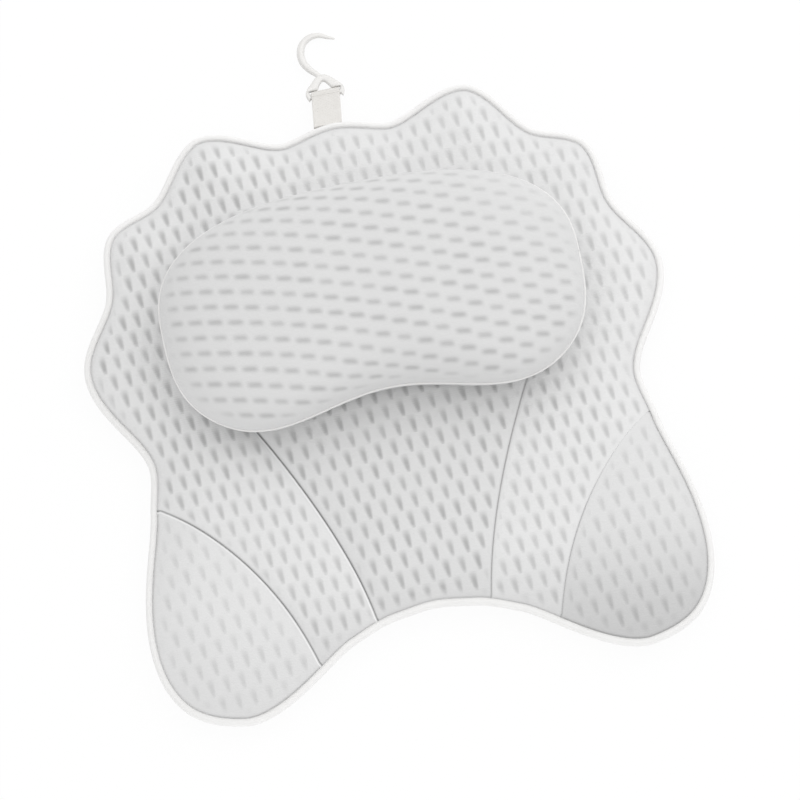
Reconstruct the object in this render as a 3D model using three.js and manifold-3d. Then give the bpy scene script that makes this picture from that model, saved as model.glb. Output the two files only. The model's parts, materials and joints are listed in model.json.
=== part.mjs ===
// Bath pillow: a scalloped spacer-mesh panel with a kidney-shaped bolster, lying on its suction cups.
// Millimetres, +Z up. X runs to the right, Y towards the hanging hook, Z out of the panel's face.
import * as THREE from 'three';
import { mergeVertices } from 'three/addons/utils/BufferGeometryUtils.js';
import Module from 'manifold-3d';

const wasm = await Module();
wasm.setup();

// Fits
const FIT_GAP = 0.3; // between pieces that touch
const SOFT_GAP = 1; // between a cover and the padding under it

// Panel outline: distances from the fan's centre to the crests and dips of its edge
const FAN_Y = 20.4; // fan centre above the panel's middle
const CROWN_LOBE = 171.6;
const CROWN_DIP = 168.2;
const UPPER_LOBE = 203.1;
const UPPER_DIP = 192.8;
const SHOULDER_LOBE = 207.3;
const SHOULDER_DIP = 193.5;
const SIDE_LOBE = 203.1;
const NECK = 174;
const LEG_TOP = 189.1;
const LEG_TIP = 273.7;
const LEG_HEEL = 265;
const LEG_FORK = 193.2;
const NOTCH_SIDE = 175.9;
const NOTCH = 170.3;

// Where the edge passes these, in degrees from the hook round to the notch
const EDGE_WAVE = [
  [0, CROWN_LOBE], [11.6, CROWN_DIP], [28.7, UPPER_LOBE], [42.2, UPPER_DIP], [53.1, SHOULDER_LOBE],
  [65.7, SHOULDER_DIP], [79.2, SIDE_LOBE], [101.8, NECK], [111.8, LEG_TOP], [140.4, LEG_TIP],
  [147.7, LEG_HEEL], [162.6, LEG_FORK], [171, NOTCH_SIDE], [180, NOTCH],
];

// Seams of the right side: where they meet the edge, in degrees, and the points that they bend towards
const INNER_SEAM_FOOT = 168;
const OUTER_SEAM_FOOT = 158.1;
const OUTER_SEAM_NECK = 110.9;
const INNER_BEND_X = 52;
const INNER_BEND_Y = -81.5;
const OUTER_BEND_X = 106;
const OUTER_BEND_Y = -92.7;
const SEAM_TOP_X = 104; // where an inner seam ends under the bolster
const SEAM_TOP_Y = 10.2;
const TOP_SEAM_BOW = 30.6; // rise of the seam across, hidden under the bolster
const SEAM_DEPTH = 2.5;
const SEAM_WIDTH = 9; // from the stitch line to the full thickness

// Panel section
const BACK_SHEET = 1.2;
const EDGE_PAD = 3.5; // padding held in the bound edge
const COVER = 4; // spacer mesh at its full thickness
const COVER_EDGE = 2; // the same mesh pressed flat in the bound edge
const PANEL_RISE = 11; // from the bound edge to the panel's top
const ROLL_WIDTH = 34; // how far in the edge rolls over
const PAD_SETBACK = 2; // the padding rolls up this much further in than its cover

// Edge binding
const TAPE = 1;
const TAPE_LIP = 6; // tape seen on the face
const EDGE_CLEAR = 0.6; // from the tape's fold to the edges inside it
const TAPE_ROUND = 1.6;
const FLANGE = TAPE_LIP + 1; // flat border of the covers, under the tape

// Bolster
const BOLSTER_Y = 63; // its middle line above the panel's middle
const BOLSTER_HALF = 143.5; // half its length
const BOLSTER_UPPER = 77; // from the middle line to the upper edge
const BOLSTER_LOWER = 87.6; // to the lower edge, before the waist
const BOLSTER_WAIST = 22.4; // how far the lower edge is drawn in for the neck
const WAIST_REACH = 115; // half the span of the waist
const BOLSTER_BASE = 28; // seat to side seam
const BOLSTER_CROWN = 40; // side seam to top
const BOLSTER_COVER = 3;
const BOLSTER_FOOT = 0.72; // share of the plan that lies flat on the panel
const UPPER_POWER = 2.6; // how square the plan's upper corners are
const LOWER_POWER = 3;
const DOME_POWER = 2.5; // how square the section's shoulders are

// Suction cups and the eyelets that hold them
const CUP_RADIUS = 25;
const CUP_LIP = 2.5; // flat rim that meets the tub
const CUP_HOLLOW = 3.6;
const CUP_BELL = 8; // height of the bell
const CUP_RIM = 0.9; // thickness of the bell at its rim
const CUP_HUB_RADIUS = 8;
const CUP_HUB = 3.7; // bell to eyelet
const CUP_NECK_RADIUS = 4;
const CUP_HEAD_RADIUS = 6.6;
const CUP_HEAD = 4;
const EYELET_WALL = 1.6;
const EYELET_FLANGE = 3;
const EYELET_PLATE = 0.7;
const CUP_INSET = 58; // from the panel's edge in to a cup's middle
const CUP_ANGLES = { upper: 36, middle: 88, leg: 139 }; // degrees from the hook

// Hanging loop and hook
const LOOP_X = -3.1; // sewn a little left of the middle
const LOOP_SKEW = 2.9; // how far right of its root the webbing holds the hook
const LOOP_WIDTH = 19.5;
const LOOP_LENGTH = 23.7; // root to hook bar
const WEBBING = 1.2;
const LOOP_DROOP = THREE.MathUtils.degToRad(25);
const BAR = 3.8; // thickness of the hook's frame and bar
const FRAME_BEVEL = 0.9;
const FRAME_WALL = 2.65;
const EYE_SPARE = 1; // beside the webbing
const EYE_TAPER = 5.8; // from the webbing's fold to the eye's point
const EYE_OPEN = 5.3; // half the eye's width past the fold
const FRAME_CORNER = 1;
const FRAME_SWELL = 3; // how far the frame's shoulders bow out
const HOOK_LEAN = 0.6; // the round springs from right of the frame's point
const HOOK_ASIDE = 1.4; // middle of the round, right of the frame's point
const HOOK_RADIUS = 11.5; // middle of the hook's round
const HOOK_RISE = 31.5; // bar to the middle of the round
const HOOK_THICK = 5;
const HOOK_TIP = 2.2;
const HOOK_TIP_OUT = 12.8; // tip, right of the round's middle
const HOOK_TIP_UP = 5.7;
const HOOK_FROM = 225; // where the round starts and ends, in degrees from the right
const HOOK_TO = 75;

// Heights that follow from the stack, from the cups' rims up
const HUB_TOP = CUP_BELL + CUP_HUB;
const EYELET_FOOT = HUB_TOP + FIT_GAP;
const BACK_Z = EYELET_FOOT + EYELET_PLATE + FIT_GAP;
const BACK_TOP = BACK_Z + BACK_SHEET;
const EYELET_TOP = BACK_TOP + FIT_GAP + EYELET_PLATE;
const HEAD_Z = EYELET_TOP + FIT_GAP;
const HEAD_TOP = HEAD_Z + CUP_HEAD;
const CORE_Z = BACK_TOP + FIT_GAP;
const CORE_EDGE_TOP = CORE_Z + EDGE_PAD;
const COVER_EDGE_Z = CORE_EDGE_TOP + SOFT_GAP;
const COVER_EDGE_TOP = COVER_EDGE_Z + COVER_EDGE;
const PANEL_TOP = COVER_EDGE_TOP + PANEL_RISE;
const SEAT_Z = PANEL_TOP + FIT_GAP;
const RIM_Z = SEAT_Z + BOLSTER_BASE;

// Edges inside the binding, and the eyelets' radii
const EDGE_INSET = TAPE + EDGE_CLEAR;
const EYELET_SIDES = 12;
const EYELET_BORE = (CUP_NECK_RADIUS + FIT_GAP) / Math.cos(Math.PI / EYELET_SIDES);
const EYELET_NECK = EYELET_BORE + EYELET_WALL;
const EYELET_RADIUS = EYELET_NECK + EYELET_FLANGE;

// Divisions of the surfaces
const FAN_STEPS = 24; // hook to the outer seam, on each side
const LEG_STEPS = 16;
const FOOT_STEPS = 5;
const NOTCH_STEPS = 5;
const SEAM_STEPS = 8;
const CENTRE_ROWS = 11;
const BOLSTER_STEPS = 44;
const DOME_STEPS = 6;
const CUP_SIDES = 18;
const BELL_STEPS = 3;
const POCKET_SIDES = 16;
const HOOK_TURNS = 4;
const WIRE_RINGS = 22;
const WIRE_SIDES = 8;
const CORE_ROWS = [1, 0.95, 0.88, 0.79, 0.66, 0.42]; // shares of the way out from the fan's centre
const ACROSS_FAN = [0, 0.07, 0.25, 0.5, 0.72, 0.84, 0.93, 1];
const ACROSS_LEG = [0, 0.1, 0.3, 0.55, 0.75, 0.89, 1];
const ACROSS_CENTRE = [0, 0.07, 0.22, 0.5, 0.78, 0.93, 1];
const NECK_SHARE = 0.55; // the neck lies across from this share of the inner seam
const CURVE_MARKS = 400; // points that measure a curve's length
const EDGE_MARKS = 720; // points that measure the distance to the edge
const SEAM_MARKS = 90;
const EDGE_STEP = 0.05; // degrees, for the edge's direction
const KIDNEY_STEP = 0.01; // radians, for the bolster's

const { degToRad, lerp, clamp } = THREE.MathUtils;

// Points

const flat = (x, y) => new THREE.Vector2(x, y);
const lifted = (p, z) => new THREE.Vector3(p.x, p.y, z);
const mirrored = (p) => flat(-p.x, p.y);
const shares = (count) => Array.from({ length: count + 1 }, (_, i) => i / count);

// Values that divide a curve, given as a function, into equal lengths
function evenly(pointAt, from, to, count) {
  const fine = shares(CURVE_MARKS).map((s) => lerp(from, to, s));
  const run = [0];
  for (let i = 1; i < fine.length; i += 1) {
    run.push(run[i - 1] + pointAt(fine[i]).distanceTo(pointAt(fine[i - 1])));
  }
  return shares(count).map((s) => {
    const target = s * run[run.length - 1];
    const at = Math.max(1, run.findIndex((r) => r >= target - 1e-9));
    return lerp(fine[at - 1], fine[at], (target - run[at - 1]) / (run[at] - run[at - 1]));
  });
}

// A curve's point moved to its right-hand side
function moved(pointAt, value, step, by) {
  const along = pointAt(value + step).sub(pointAt(value - step)).normalize();
  return pointAt(value).add(flat(along.y, -along.x).multiplyScalar(by));
}

// Edge of the panel, clockwise from the hook: level at each crest and dip, and a smooth curve between

const edgeRises = EDGE_WAVE.slice(1).map(
  ([at, radius], i) => (radius - EDGE_WAVE[i][1]) / (at - EDGE_WAVE[i][0]));
const edgeSlopes = EDGE_WAVE.map((_, i) => {
  const [before, after] = [edgeRises[i - 1] ?? 0, edgeRises[i] ?? 0];
  return before * after > 0 ? 2 * before * after / (before + after) : 0;
});

function onEdge(degrees) {
  const turn = ((degrees + 540) % 360) - 180;
  const next = Math.max(1, EDGE_WAVE.findIndex(([at]) => at >= Math.abs(turn)));
  const [from, low] = EDGE_WAVE[next - 1];
  const [to, high] = EDGE_WAVE[next];
  const share = (Math.abs(turn) - from) / (to - from);
  const [leaving, coming] = [edgeSlopes[next - 1], edgeSlopes[next]].map((slope) => slope * (to - from));
  const bend = share * (1 - share) * (leaving * (1 - share) - coming * share);
  const radius = lerp(low, high, share ** 2 * (3 - 2 * share)) + bend;
  return flat(Math.sin(degToRad(turn)) * radius, FAN_Y + Math.cos(degToRad(turn)) * radius);
}

const fanCentre = flat(0, FAN_Y);
const edgePoint = (degrees, inset) => moved(onEdge, degrees, EDGE_STEP, inset);

const fanAngles = evenly(onEdge, 0, OUTER_SEAM_NECK, FAN_STEPS);
const legAngles = evenly(onEdge, OUTER_SEAM_NECK, OUTER_SEAM_FOOT, LEG_STEPS);
const footAngles = evenly(onEdge, OUTER_SEAM_FOOT, INNER_SEAM_FOOT, FOOT_STEPS);
const notchAngles = evenly(onEdge, INNER_SEAM_FOOT, 180, NOTCH_STEPS);
const rightAngles = [fanAngles, legAngles.slice(1), footAngles.slice(1), notchAngles.slice(1)].flat();
const roundAngles = [...rightAngles, ...rightAngles.slice(1, -1).reverse().map((a) => 360 - a)];

// Seams of the right side, and the one that crosses under the bolster

const seamTop = flat(SEAM_TOP_X, SEAM_TOP_Y);
const innerSeam = new THREE.QuadraticBezierCurve(
  edgePoint(INNER_SEAM_FOOT, FLANGE), flat(INNER_BEND_X, INNER_BEND_Y), seamTop);
const outerSeam = new THREE.QuadraticBezierCurve(
  edgePoint(OUTER_SEAM_FOOT, FLANGE), flat(OUTER_BEND_X, OUTER_BEND_Y),
  edgePoint(OUTER_SEAM_NECK, FLANGE));
const topSeam = new THREE.QuadraticBezierCurve(
  seamTop, flat(0, SEAM_TOP_Y + 2 * TOP_SEAM_BOW), mirrored(seamTop));

// A seam's point on the cover that lies to its right (1) or left (-1)
function beside(seam, share, side) {
  const along = seam.getTangentAt(share);
  return seam.getPointAt(share).add(flat(along.y, -along.x).multiplyScalar(side * FIT_GAP / 2));
}

// Heights of the panel: it rolls up from the bound edge, and the seams draw its cover down

const edgeMarks = shares(EDGE_MARKS).map((s) => onEdge(s * 360));
const seamMarks = [innerSeam, outerSeam, topSeam].flatMap((seam) => seam.getSpacedPoints(SEAM_MARKS));
const nearest = (marks, p) => marks.reduce((least, m) => Math.min(least, m.distanceTo(p)), Infinity);

function roll(p, setback = 0) {
  const share = (nearest(edgeMarks, p) - FLANGE - setback) / ROLL_WIDTH;
  return Math.sin(Math.PI / 2 * clamp(share, 0, 1));
}

function seamDip(p) {
  const share = clamp(nearest(seamMarks, flat(Math.abs(p.x), p.y)) / SEAM_WIDTH, 0, 1);
  return SEAM_DEPTH * (1 - share ** 2) ** 2 * roll(p);
}

const coreRise = PANEL_RISE - COVER + COVER_EDGE;
const coverTop = (p) => COVER_EDGE_TOP + PANEL_RISE * roll(p) - seamDip(p);
const coverUnder = (p) => COVER_EDGE_Z + coreRise * roll(p);
const coreTop = (p) => CORE_EDGE_TOP + coreRise * roll(p, PAD_SETBACK);

// Bodies

function body(points, triangles) {
  const geometry = new THREE.BufferGeometry();
  const position = points.flatMap((p) => [p.x, p.y, p.z]);
  geometry.setAttribute('position', new THREE.Float32BufferAttribute(position, 3));
  const volume = triangles.reduce((sum, [a, b, c]) => (
    sum + points[a].dot(new THREE.Vector3().crossVectors(points[b], points[c]))), 0);
  geometry.setIndex((volume < 0 ? triangles.map(([a, b, c]) => [a, c, b]) : triangles).flat());
  return geometry;
}

// Closed sheet over a patchwork of grids, with a top and an under height at each point
function slab(grids, topZ, underZ) {
  const points = [];
  const found = new Map();
  const idOf = (p) => {
    const key = `${p.x.toFixed(3)} ${p.y.toFixed(3)}`;
    if (!found.has(key)) found.set(key, points.push(p) - 1);
    return found.get(key);
  };
  const faces = [];
  const addFace = (a, b, c) => {
    const turn = points[b].clone().sub(points[a]).cross(points[c].clone().sub(points[a]));
    if (Math.abs(turn) > 1e-6) faces.push(turn > 0 ? [a, b, c] : [a, c, b]);
  };
  for (const rows of grids) {
    for (let i = 1; i < rows.length; i += 1) {
      for (let j = 1; j < rows[i].length; j += 1) {
        const [a, b, c, d] = [rows[i - 1][j - 1], rows[i - 1][j], rows[i][j], rows[i][j - 1]].map(idOf);
        addFace(a, b, c);
        addFace(a, c, d);
      }
    }
  }
  const edges = new Set(faces.flatMap(([a, b, c]) => [`${a} ${b}`, `${b} ${c}`, `${c} ${a}`]));
  const under = points.length;
  const triangles = faces.flatMap(([a, b, c]) => [[a, b, c], [a + under, c + under, b + under]]);
  for (const edge of edges) {
    const [a, b] = edge.split(' ').map(Number);
    if (!edges.has(`${b} ${a}`)) triangles.push([a + under, b + under, b], [a + under, b, a]);
  }
  const heights = [topZ, underZ].flatMap((heightAt) => points.map((p) => lifted(p, heightAt(p))));
  return body(heights, triangles);
}

// Grid between four borders: across gives the shares of its rows, along those of its columns
function patch({ low, high, left, right, across, along }) {
  const end = low.length - 1;
  return across.map((v, i) => along.map((u, j) => {
    const mix = (k) => lerp(left[i][k], right[i][k], u) + lerp(low[j][k], high[j][k], v)
      - lerp(lerp(low[0][k], low[end][k], u), lerp(high[0][k], high[end][k], u), v);
    return flat(mix('x'), mix('y'));
  }));
}

// Loft through rings of points, round on itself or closed to a point at each end
function loft(rings, ends = []) {
  const size = rings[0].length;
  const points = [...rings.flat(), ...ends];
  const triangles = [];
  for (let i = 0; i < rings.length - (ends.length ? 1 : 0); i += 1) {
    for (let j = 0; j < size; j += 1) {
      const [here, next] = [i * size, ((i + 1) % rings.length) * size];
      const k = (j + 1) % size;
      triangles.push([here + j, here + k, next + k], [here + j, next + k, next + j]);
    }
  }
  ends.forEach((_, e) => {
    const tip = rings.length * size + e;
    const ring = e * (rings.length - 1) * size;
    for (let j = 0; j < size; j += 1) {
      const [a, b] = [ring + j, ring + (j + 1) % size];
      triangles.push(e ? [tip, a, b] : [tip, b, a]);
    }
  });
  return body(points, triangles);
}

// Turned piece from a profile of radius and height
function turned(profile, sides) {
  return new THREE.LatheGeometry(profile.map(([r, z]) => flat(r, z)), sides).rotateX(Math.PI / 2);
}

function toSolid(geometry) {
  const bare = new THREE.BufferGeometry();
  bare.setAttribute('position', geometry.attributes.position);
  bare.setIndex(geometry.index);
  const merged = mergeVertices(bare, 1e-4);
  return new wasm.Manifold(new wasm.Mesh({
    numProp: 3,
    vertProperties: new Float32Array(merged.attributes.position.array),
    triVerts: new Uint32Array(merged.index.array),
  }));
}

function toGeometry(solid) {
  const { vertProperties, triVerts } = solid.getMesh();
  const geometry = new THREE.BufferGeometry();
  geometry.setAttribute('position', new THREE.BufferAttribute(new Float32Array(vertProperties), 3));
  geometry.setIndex(new THREE.BufferAttribute(new Uint32Array(triVerts), 1));
  return geometry;
}

// Materials and pieces

const paint = (color, roughness) => () => new THREE.MeshStandardMaterial({ color, roughness, metalness: 0 });
const spacerMesh = paint(0xeeeeec, 0.85);
const padding = paint(0xf4f3ee, 0.95);
const lining = paint(0xe9e9e7, 0.9);
const bindingTape = paint(0xf3f3f2, 0.7);
const webbing = paint(0xece8de, 0.85);
const plastic = paint(0xf1eee6, 0.35);
const rubber = paint(0xdfe6ea, 0.25);

const part = new THREE.Group();

function add(name, geometry, material, into = part) {
  const piece = new THREE.Mesh(geometry, material());
  piece.name = name;
  into.add(piece);
  return piece;
}

// Front covers: four pieces of spacer mesh, sewn edge to edge and held at the rim by the binding

// Flat border from a row on the covers' roll to their cut edge
const border = (row, angles) => [row, row.map((p, i) => (
  edgePoint(angles[i], EDGE_INSET).sub(edgePoint(angles[i], FLANGE)).add(p)))];
const mirrorGrid = (grid) => grid.map((row) => row.map(mirrored));

function fanGrids() {
  const inner = [
    ...shares(SEAM_STEPS).map((s) => beside(innerSeam, NECK_SHARE * s, 1)),
    ...shares(SEAM_STEPS).slice(1).map((s) => beside(innerSeam, lerp(NECK_SHARE, 1, s), 1)),
    ...shares(FAN_STEPS - SEAM_STEPS).slice(1).map((s) => beside(topSeam, s / 2, 1)),
  ];
  const rising = fanAngles.slice(0, -1).reverse();
  const outer = [
    ...shares(SEAM_STEPS).map((s) => beside(outerSeam, s, -1)),
    ...rising.map((angle) => edgePoint(angle, FLANGE)),
  ];
  const bothSides = (row) => [...row, ...row.slice(0, -1).reverse().map(mirrored)];
  const footAt = ACROSS_FAN.map((s) => lerp(INNER_SEAM_FOOT, OUTER_SEAM_FOOT, s));
  const foot = [inner[0], ...footAt.slice(1, -1).map((angle) => edgePoint(angle, FLANGE)), outer[0]];
  const high = bothSides(outer);
  const grid = patch({
    low: bothSides(inner), high, left: foot, right: foot.map(mirrored),
    across: ACROSS_FAN, along: shares(high.length - 1),
  });
  const rimAngles = [OUTER_SEAM_NECK, ...rising, ...fanAngles.slice(1).map((angle) => -angle)];
  const rim = high.slice(SEAM_STEPS, high.length - SEAM_STEPS);
  return [grid, border(rim, rimAngles), border(foot, footAt), mirrorGrid(border(foot, footAt))];
}

function centreGrids() {
  const across = shares(CENTRE_ROWS);
  const right = across.map((s) => beside(innerSeam, s, -1));
  const left = right.map(mirrored);
  const angles = ACROSS_CENTRE.map((s) => lerp(360 - INNER_SEAM_FOOT, INNER_SEAM_FOOT, s));
  const between = (row, at) => [left[at], ...row.slice(1, -1), right[at]];
  const low = between(angles.map((angle) => edgePoint(angle, FLANGE)), 0);
  const high = between(ACROSS_CENTRE.map((s) => beside(topSeam, 1 - s, -1)), CENTRE_ROWS);
  return [patch({ low, high, left, right, across, along: ACROSS_CENTRE }), border(low, angles)];
}

function legGrids() {
  const low = shares(LEG_STEPS).map((s) => beside(outerSeam, s, 1));
  const angles = [...legAngles].reverse();
  const high = [low[0], ...angles.slice(1, -1).map((angle) => edgePoint(angle, FLANGE)), low[LEG_STEPS]];
  const grid = patch({
    low, high, left: ACROSS_LEG.map(() => low[0]), right: ACROSS_LEG.map(() => low[LEG_STEPS]),
    across: ACROSS_LEG, along: shares(LEG_STEPS),
  });
  return [grid, border(high, angles)];
}

add('front_fan_cover', slab(fanGrids(), coverTop, coverUnder), spacerMesh);
add('front_centre_cover', slab(centreGrids(), coverTop, coverUnder), spacerMesh);
add('front_leg_cover_right', slab(legGrids(), coverTop, coverUnder), spacerMesh);
add('front_leg_cover_left', slab(legGrids().map(mirrorGrid), coverTop, coverUnder), spacerMesh);

// Padding, with a pocket over each cup's head

const rimRow = (inset) => roundAngles.map((angle) => edgePoint(angle, inset));

function cupPlace(degrees) {
  const rim = onEdge(degrees);
  return rim.lerp(fanCentre, CUP_INSET / rim.distanceTo(fanCentre));
}

const cupSpots = Object.entries(CUP_ANGLES).flatMap(([row, degrees]) => [
  [`${row}_right`, cupPlace(degrees)],
  [`${row}_left`, mirrored(cupPlace(degrees))],
]);

function panelCore() {
  const cutEdge = rimRow(EDGE_INSET);
  const rollEdge = rimRow(FLANGE);
  const scaled = CORE_ROWS.map((s) => rollEdge.map((p) => fanCentre.clone().lerp(p, s)));
  const rings = [
    cutEdge.map((p) => lifted(p, CORE_Z)),
    ...[cutEdge, ...scaled].map((row) => row.map((p) => lifted(p, coreTop(p)))),
  ];
  let solid = toSolid(loft(rings, [lifted(fanCentre, CORE_Z), lifted(fanCentre, coreTop(fanCentre))]));
  const pocketTop = HEAD_TOP + SOFT_GAP;
  const pocketRadius = EYELET_RADIUS + SOFT_GAP;
  const pocketProfile = [
    [0, BACK_Z], [pocketRadius, BACK_Z], [pocketRadius, pocketTop], [0, pocketTop]];
  for (const [, place] of cupSpots) {
    const pocket = turned(pocketProfile, POCKET_SIDES);
    solid = solid.subtract(toSolid(pocket.translate(place.x, place.y, 0)));
  }
  return toGeometry(solid);
}

add('panel_core', panelCore(), padding);

// Back cover, with a hole for each eyelet

function backCover() {
  const outline = new THREE.Shape(rimRow(EDGE_INSET));
  const hole = EYELET_NECK + FIT_GAP / Math.cos(Math.PI / EYELET_SIDES);
  for (const [, place] of cupSpots) {
    const round = shares(EYELET_SIDES).slice(1).map((s) => (
      flat(Math.sin(2 * Math.PI * s), -Math.cos(2 * Math.PI * s)).multiplyScalar(hole).add(place)));
    outline.holes.push(new THREE.Path(round));
  }
  const sheet = new THREE.ExtrudeGeometry(outline, { depth: BACK_SHEET, bevelEnabled: false });
  return sheet.translate(0, 0, BACK_Z);
}

add('back_cover', backCover(), lining);

// Edge binding: tape folded round the cut edges of the covers and the padding

const tapeIn = [BACK_Z - FIT_GAP, COVER_EDGE_TOP + FIT_GAP];
const tapeOut = [tapeIn[0] - TAPE, tapeIn[1] + TAPE];
const tapeSection = [
  [TAPE, tapeIn[1]], [TAPE_LIP, tapeIn[1]], [TAPE_LIP, tapeOut[1]], [TAPE_ROUND, tapeOut[1]],
  [0, tapeOut[1] - TAPE_ROUND], [0, tapeOut[0] + TAPE_ROUND], [TAPE_ROUND, tapeOut[0]],
  [TAPE_LIP, tapeOut[0]], [TAPE_LIP, tapeIn[0]], [TAPE, tapeIn[0]],
];
add('edge_binding', loft(roundAngles.map((angle) => (
  tapeSection.map(([inset, z]) => lifted(edgePoint(angle, inset), z))))), bindingTape);

// Bolster: a domed top cover and a dished base cover, sewn together at the side, round their filling

// Kidney plan, clockwise from the right-hand end
function onKidney(angle) {
  const [c, s] = [Math.cos(angle), -Math.sin(angle)];
  const power = 2 / (s > 0 ? UPPER_POWER : LOWER_POWER);
  const x = BOLSTER_HALF * Math.sign(c) * Math.abs(c) ** power;
  if (s > 0) return flat(x, BOLSTER_UPPER * s ** power);
  const waist = BOLSTER_WAIST * (1 + Math.cos(Math.PI * clamp(x / WAIST_REACH, -1, 1))) / 2;
  const depth = BOLSTER_LOWER * Math.abs(s) ** power;
  return flat(x, (waist / BOLSTER_LOWER - 1) * depth);
}

const kidneyAngles = evenly(onKidney, 0, 2 * Math.PI, BOLSTER_STEPS).slice(0, -1);

function kidneyRing(inset, share, z) {
  return kidneyAngles.map((angle) => {
    const p = moved(onKidney, angle, KIDNEY_STEP, inset).multiplyScalar(share);
    return new THREE.Vector3(p.x, p.y + BOLSTER_Y, z);
  });
}

// Rings from the side seam towards the top or, with a negative rise, towards the flat foot
function domeRings(inset, fromZ, rise) {
  return shares(DOME_STEPS).slice(0, -1).map((s) => {
    const lift = Math.sin(s * Math.PI / 2) ** (2 / DOME_POWER);
    const draw = Math.cos(s * Math.PI / 2) ** (2 / DOME_POWER);
    return kidneyRing(inset, rise > 0 ? draw : lerp(BOLSTER_FOOT, 1, draw), fromZ + rise * lift);
  });
}

const footRing = (inset, z) => kidneyRing(inset, BOLSTER_FOOT, z);
const bolsterPole = (z) => new THREE.Vector3(0, BOLSTER_Y, z);

function bolsterTop() {
  const seamZ = RIM_Z + FIT_GAP / 2;
  const inside = BOLSTER_CROWN - BOLSTER_COVER;
  const rings = [
    ...domeRings(0, seamZ, BOLSTER_CROWN).reverse(), ...domeRings(BOLSTER_COVER, seamZ, inside)];
  return loft(rings, [bolsterPole(seamZ + BOLSTER_CROWN), bolsterPole(seamZ + inside)]);
}

function bolsterBase() {
  const seamZ = RIM_Z - FIT_GAP / 2;
  const drop = SEAT_Z - seamZ;
  const inside = drop + BOLSTER_COVER;
  const rings = [
    footRing(0, SEAT_Z), ...domeRings(0, seamZ, drop).reverse(),
    ...domeRings(BOLSTER_COVER, seamZ, inside), footRing(BOLSTER_COVER, seamZ + inside)];
  return loft(rings, [bolsterPole(SEAT_Z), bolsterPole(seamZ + inside)]);
}

function bolsterFilling() {
  const wall = BOLSTER_COVER + SOFT_GAP;
  const [up, down] = [BOLSTER_CROWN - wall, wall - BOLSTER_BASE];
  const rings = [
    footRing(wall, RIM_Z + down), ...domeRings(wall, RIM_Z, down).reverse(),
    ...domeRings(wall, RIM_Z, up).slice(1)];
  return loft(rings, [bolsterPole(RIM_Z + down), bolsterPole(RIM_Z + up)]);
}

add('bolster_top_cover', bolsterTop(), spacerMesh);
add('bolster_base_cover', bolsterBase(), spacerMesh);
add('bolster_core', bolsterFilling(), padding);

// Suction cups: a bell on the tub, a neck through its eyelet and a head inside the panel

const cupProfile = [
  ...shares(BELL_STEPS).map((s) => [(CUP_RADIUS - CUP_LIP) * s, CUP_HOLLOW * (1 - s ** 2)]),
  [CUP_RADIUS, 0],
  ...shares(BELL_STEPS).map((s) => [
    lerp(CUP_RADIUS, CUP_HUB_RADIUS, s), lerp(CUP_RIM, CUP_BELL, Math.sin(s * Math.PI / 2))]),
  [CUP_HUB_RADIUS, HUB_TOP], [CUP_NECK_RADIUS, HUB_TOP],
  [CUP_NECK_RADIUS, HEAD_Z], [CUP_HEAD_RADIUS, HEAD_Z], [CUP_HEAD_RADIUS, (HEAD_Z + HEAD_TOP) / 2],
  [CUP_NECK_RADIUS, HEAD_TOP], [0, HEAD_TOP],
];
const eyeletProfile = [
  [EYELET_BORE, EYELET_FOOT], [EYELET_RADIUS, EYELET_FOOT], [EYELET_RADIUS, EYELET_FOOT + EYELET_PLATE],
  [EYELET_NECK, EYELET_FOOT + EYELET_PLATE], [EYELET_NECK, EYELET_TOP - EYELET_PLATE],
  [EYELET_RADIUS, EYELET_TOP - EYELET_PLATE], [EYELET_RADIUS, EYELET_TOP], [EYELET_BORE, EYELET_TOP],
  [EYELET_BORE, EYELET_FOOT],
];
for (const [spot, place] of cupSpots) {
  add(`suction_cup_${spot}`, turned(cupProfile, CUP_SIDES), rubber).position.set(place.x, place.y, 0);
  add(`cup_eyelet_${spot}`, turned(eyeletProfile, EYELET_SIDES), plastic).position.set(place.x, place.y, 0);
}

// Hanging loop: webbing sewn to the binding and folded round the hook's bar

const barRadius = Math.hypot(BAR / 2, BAR / 2 - FRAME_BEVEL);
const foldIn = barRadius + FIT_GAP;
const foldOut = foldIn + WEBBING;

function hangLoop() {
  const waist = Math.asin(WEBBING / foldOut);
  const side = new THREE.Shape();
  side.absarc(0, 0, WEBBING, Math.PI / 2, 3 * Math.PI / 2);
  side.absarc(LOOP_LENGTH, 0, foldOut, Math.PI + waist, Math.PI - waist);
  const bore = new THREE.Path();
  bore.absarc(LOOP_LENGTH, 0, foldIn, 0, 2 * Math.PI, true);
  side.holes.push(bore);
  const geometry = new THREE.ExtrudeGeometry(side, {
    depth: LOOP_WIDTH, bevelEnabled: false, curveSegments: 10,
  });
  // the profile's length turns to Y, and its width to X, before it is skewed
  return geometry.translate(0, 0, -LOOP_WIDTH / 2).applyMatrix4(new THREE.Matrix4().makeBasis(
    new THREE.Vector3(0, 1, 0), new THREE.Vector3(0, 0, 1), new THREE.Vector3(1, 0, 0)))
    .applyMatrix4(new THREE.Matrix4().makeShear(0, 0, LOOP_SKEW / LOOP_LENGTH, 0, 0, 0));
}

// Hook: a three-cornered frame whose lower side is the bar, and a tapered round rising from its point

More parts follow.
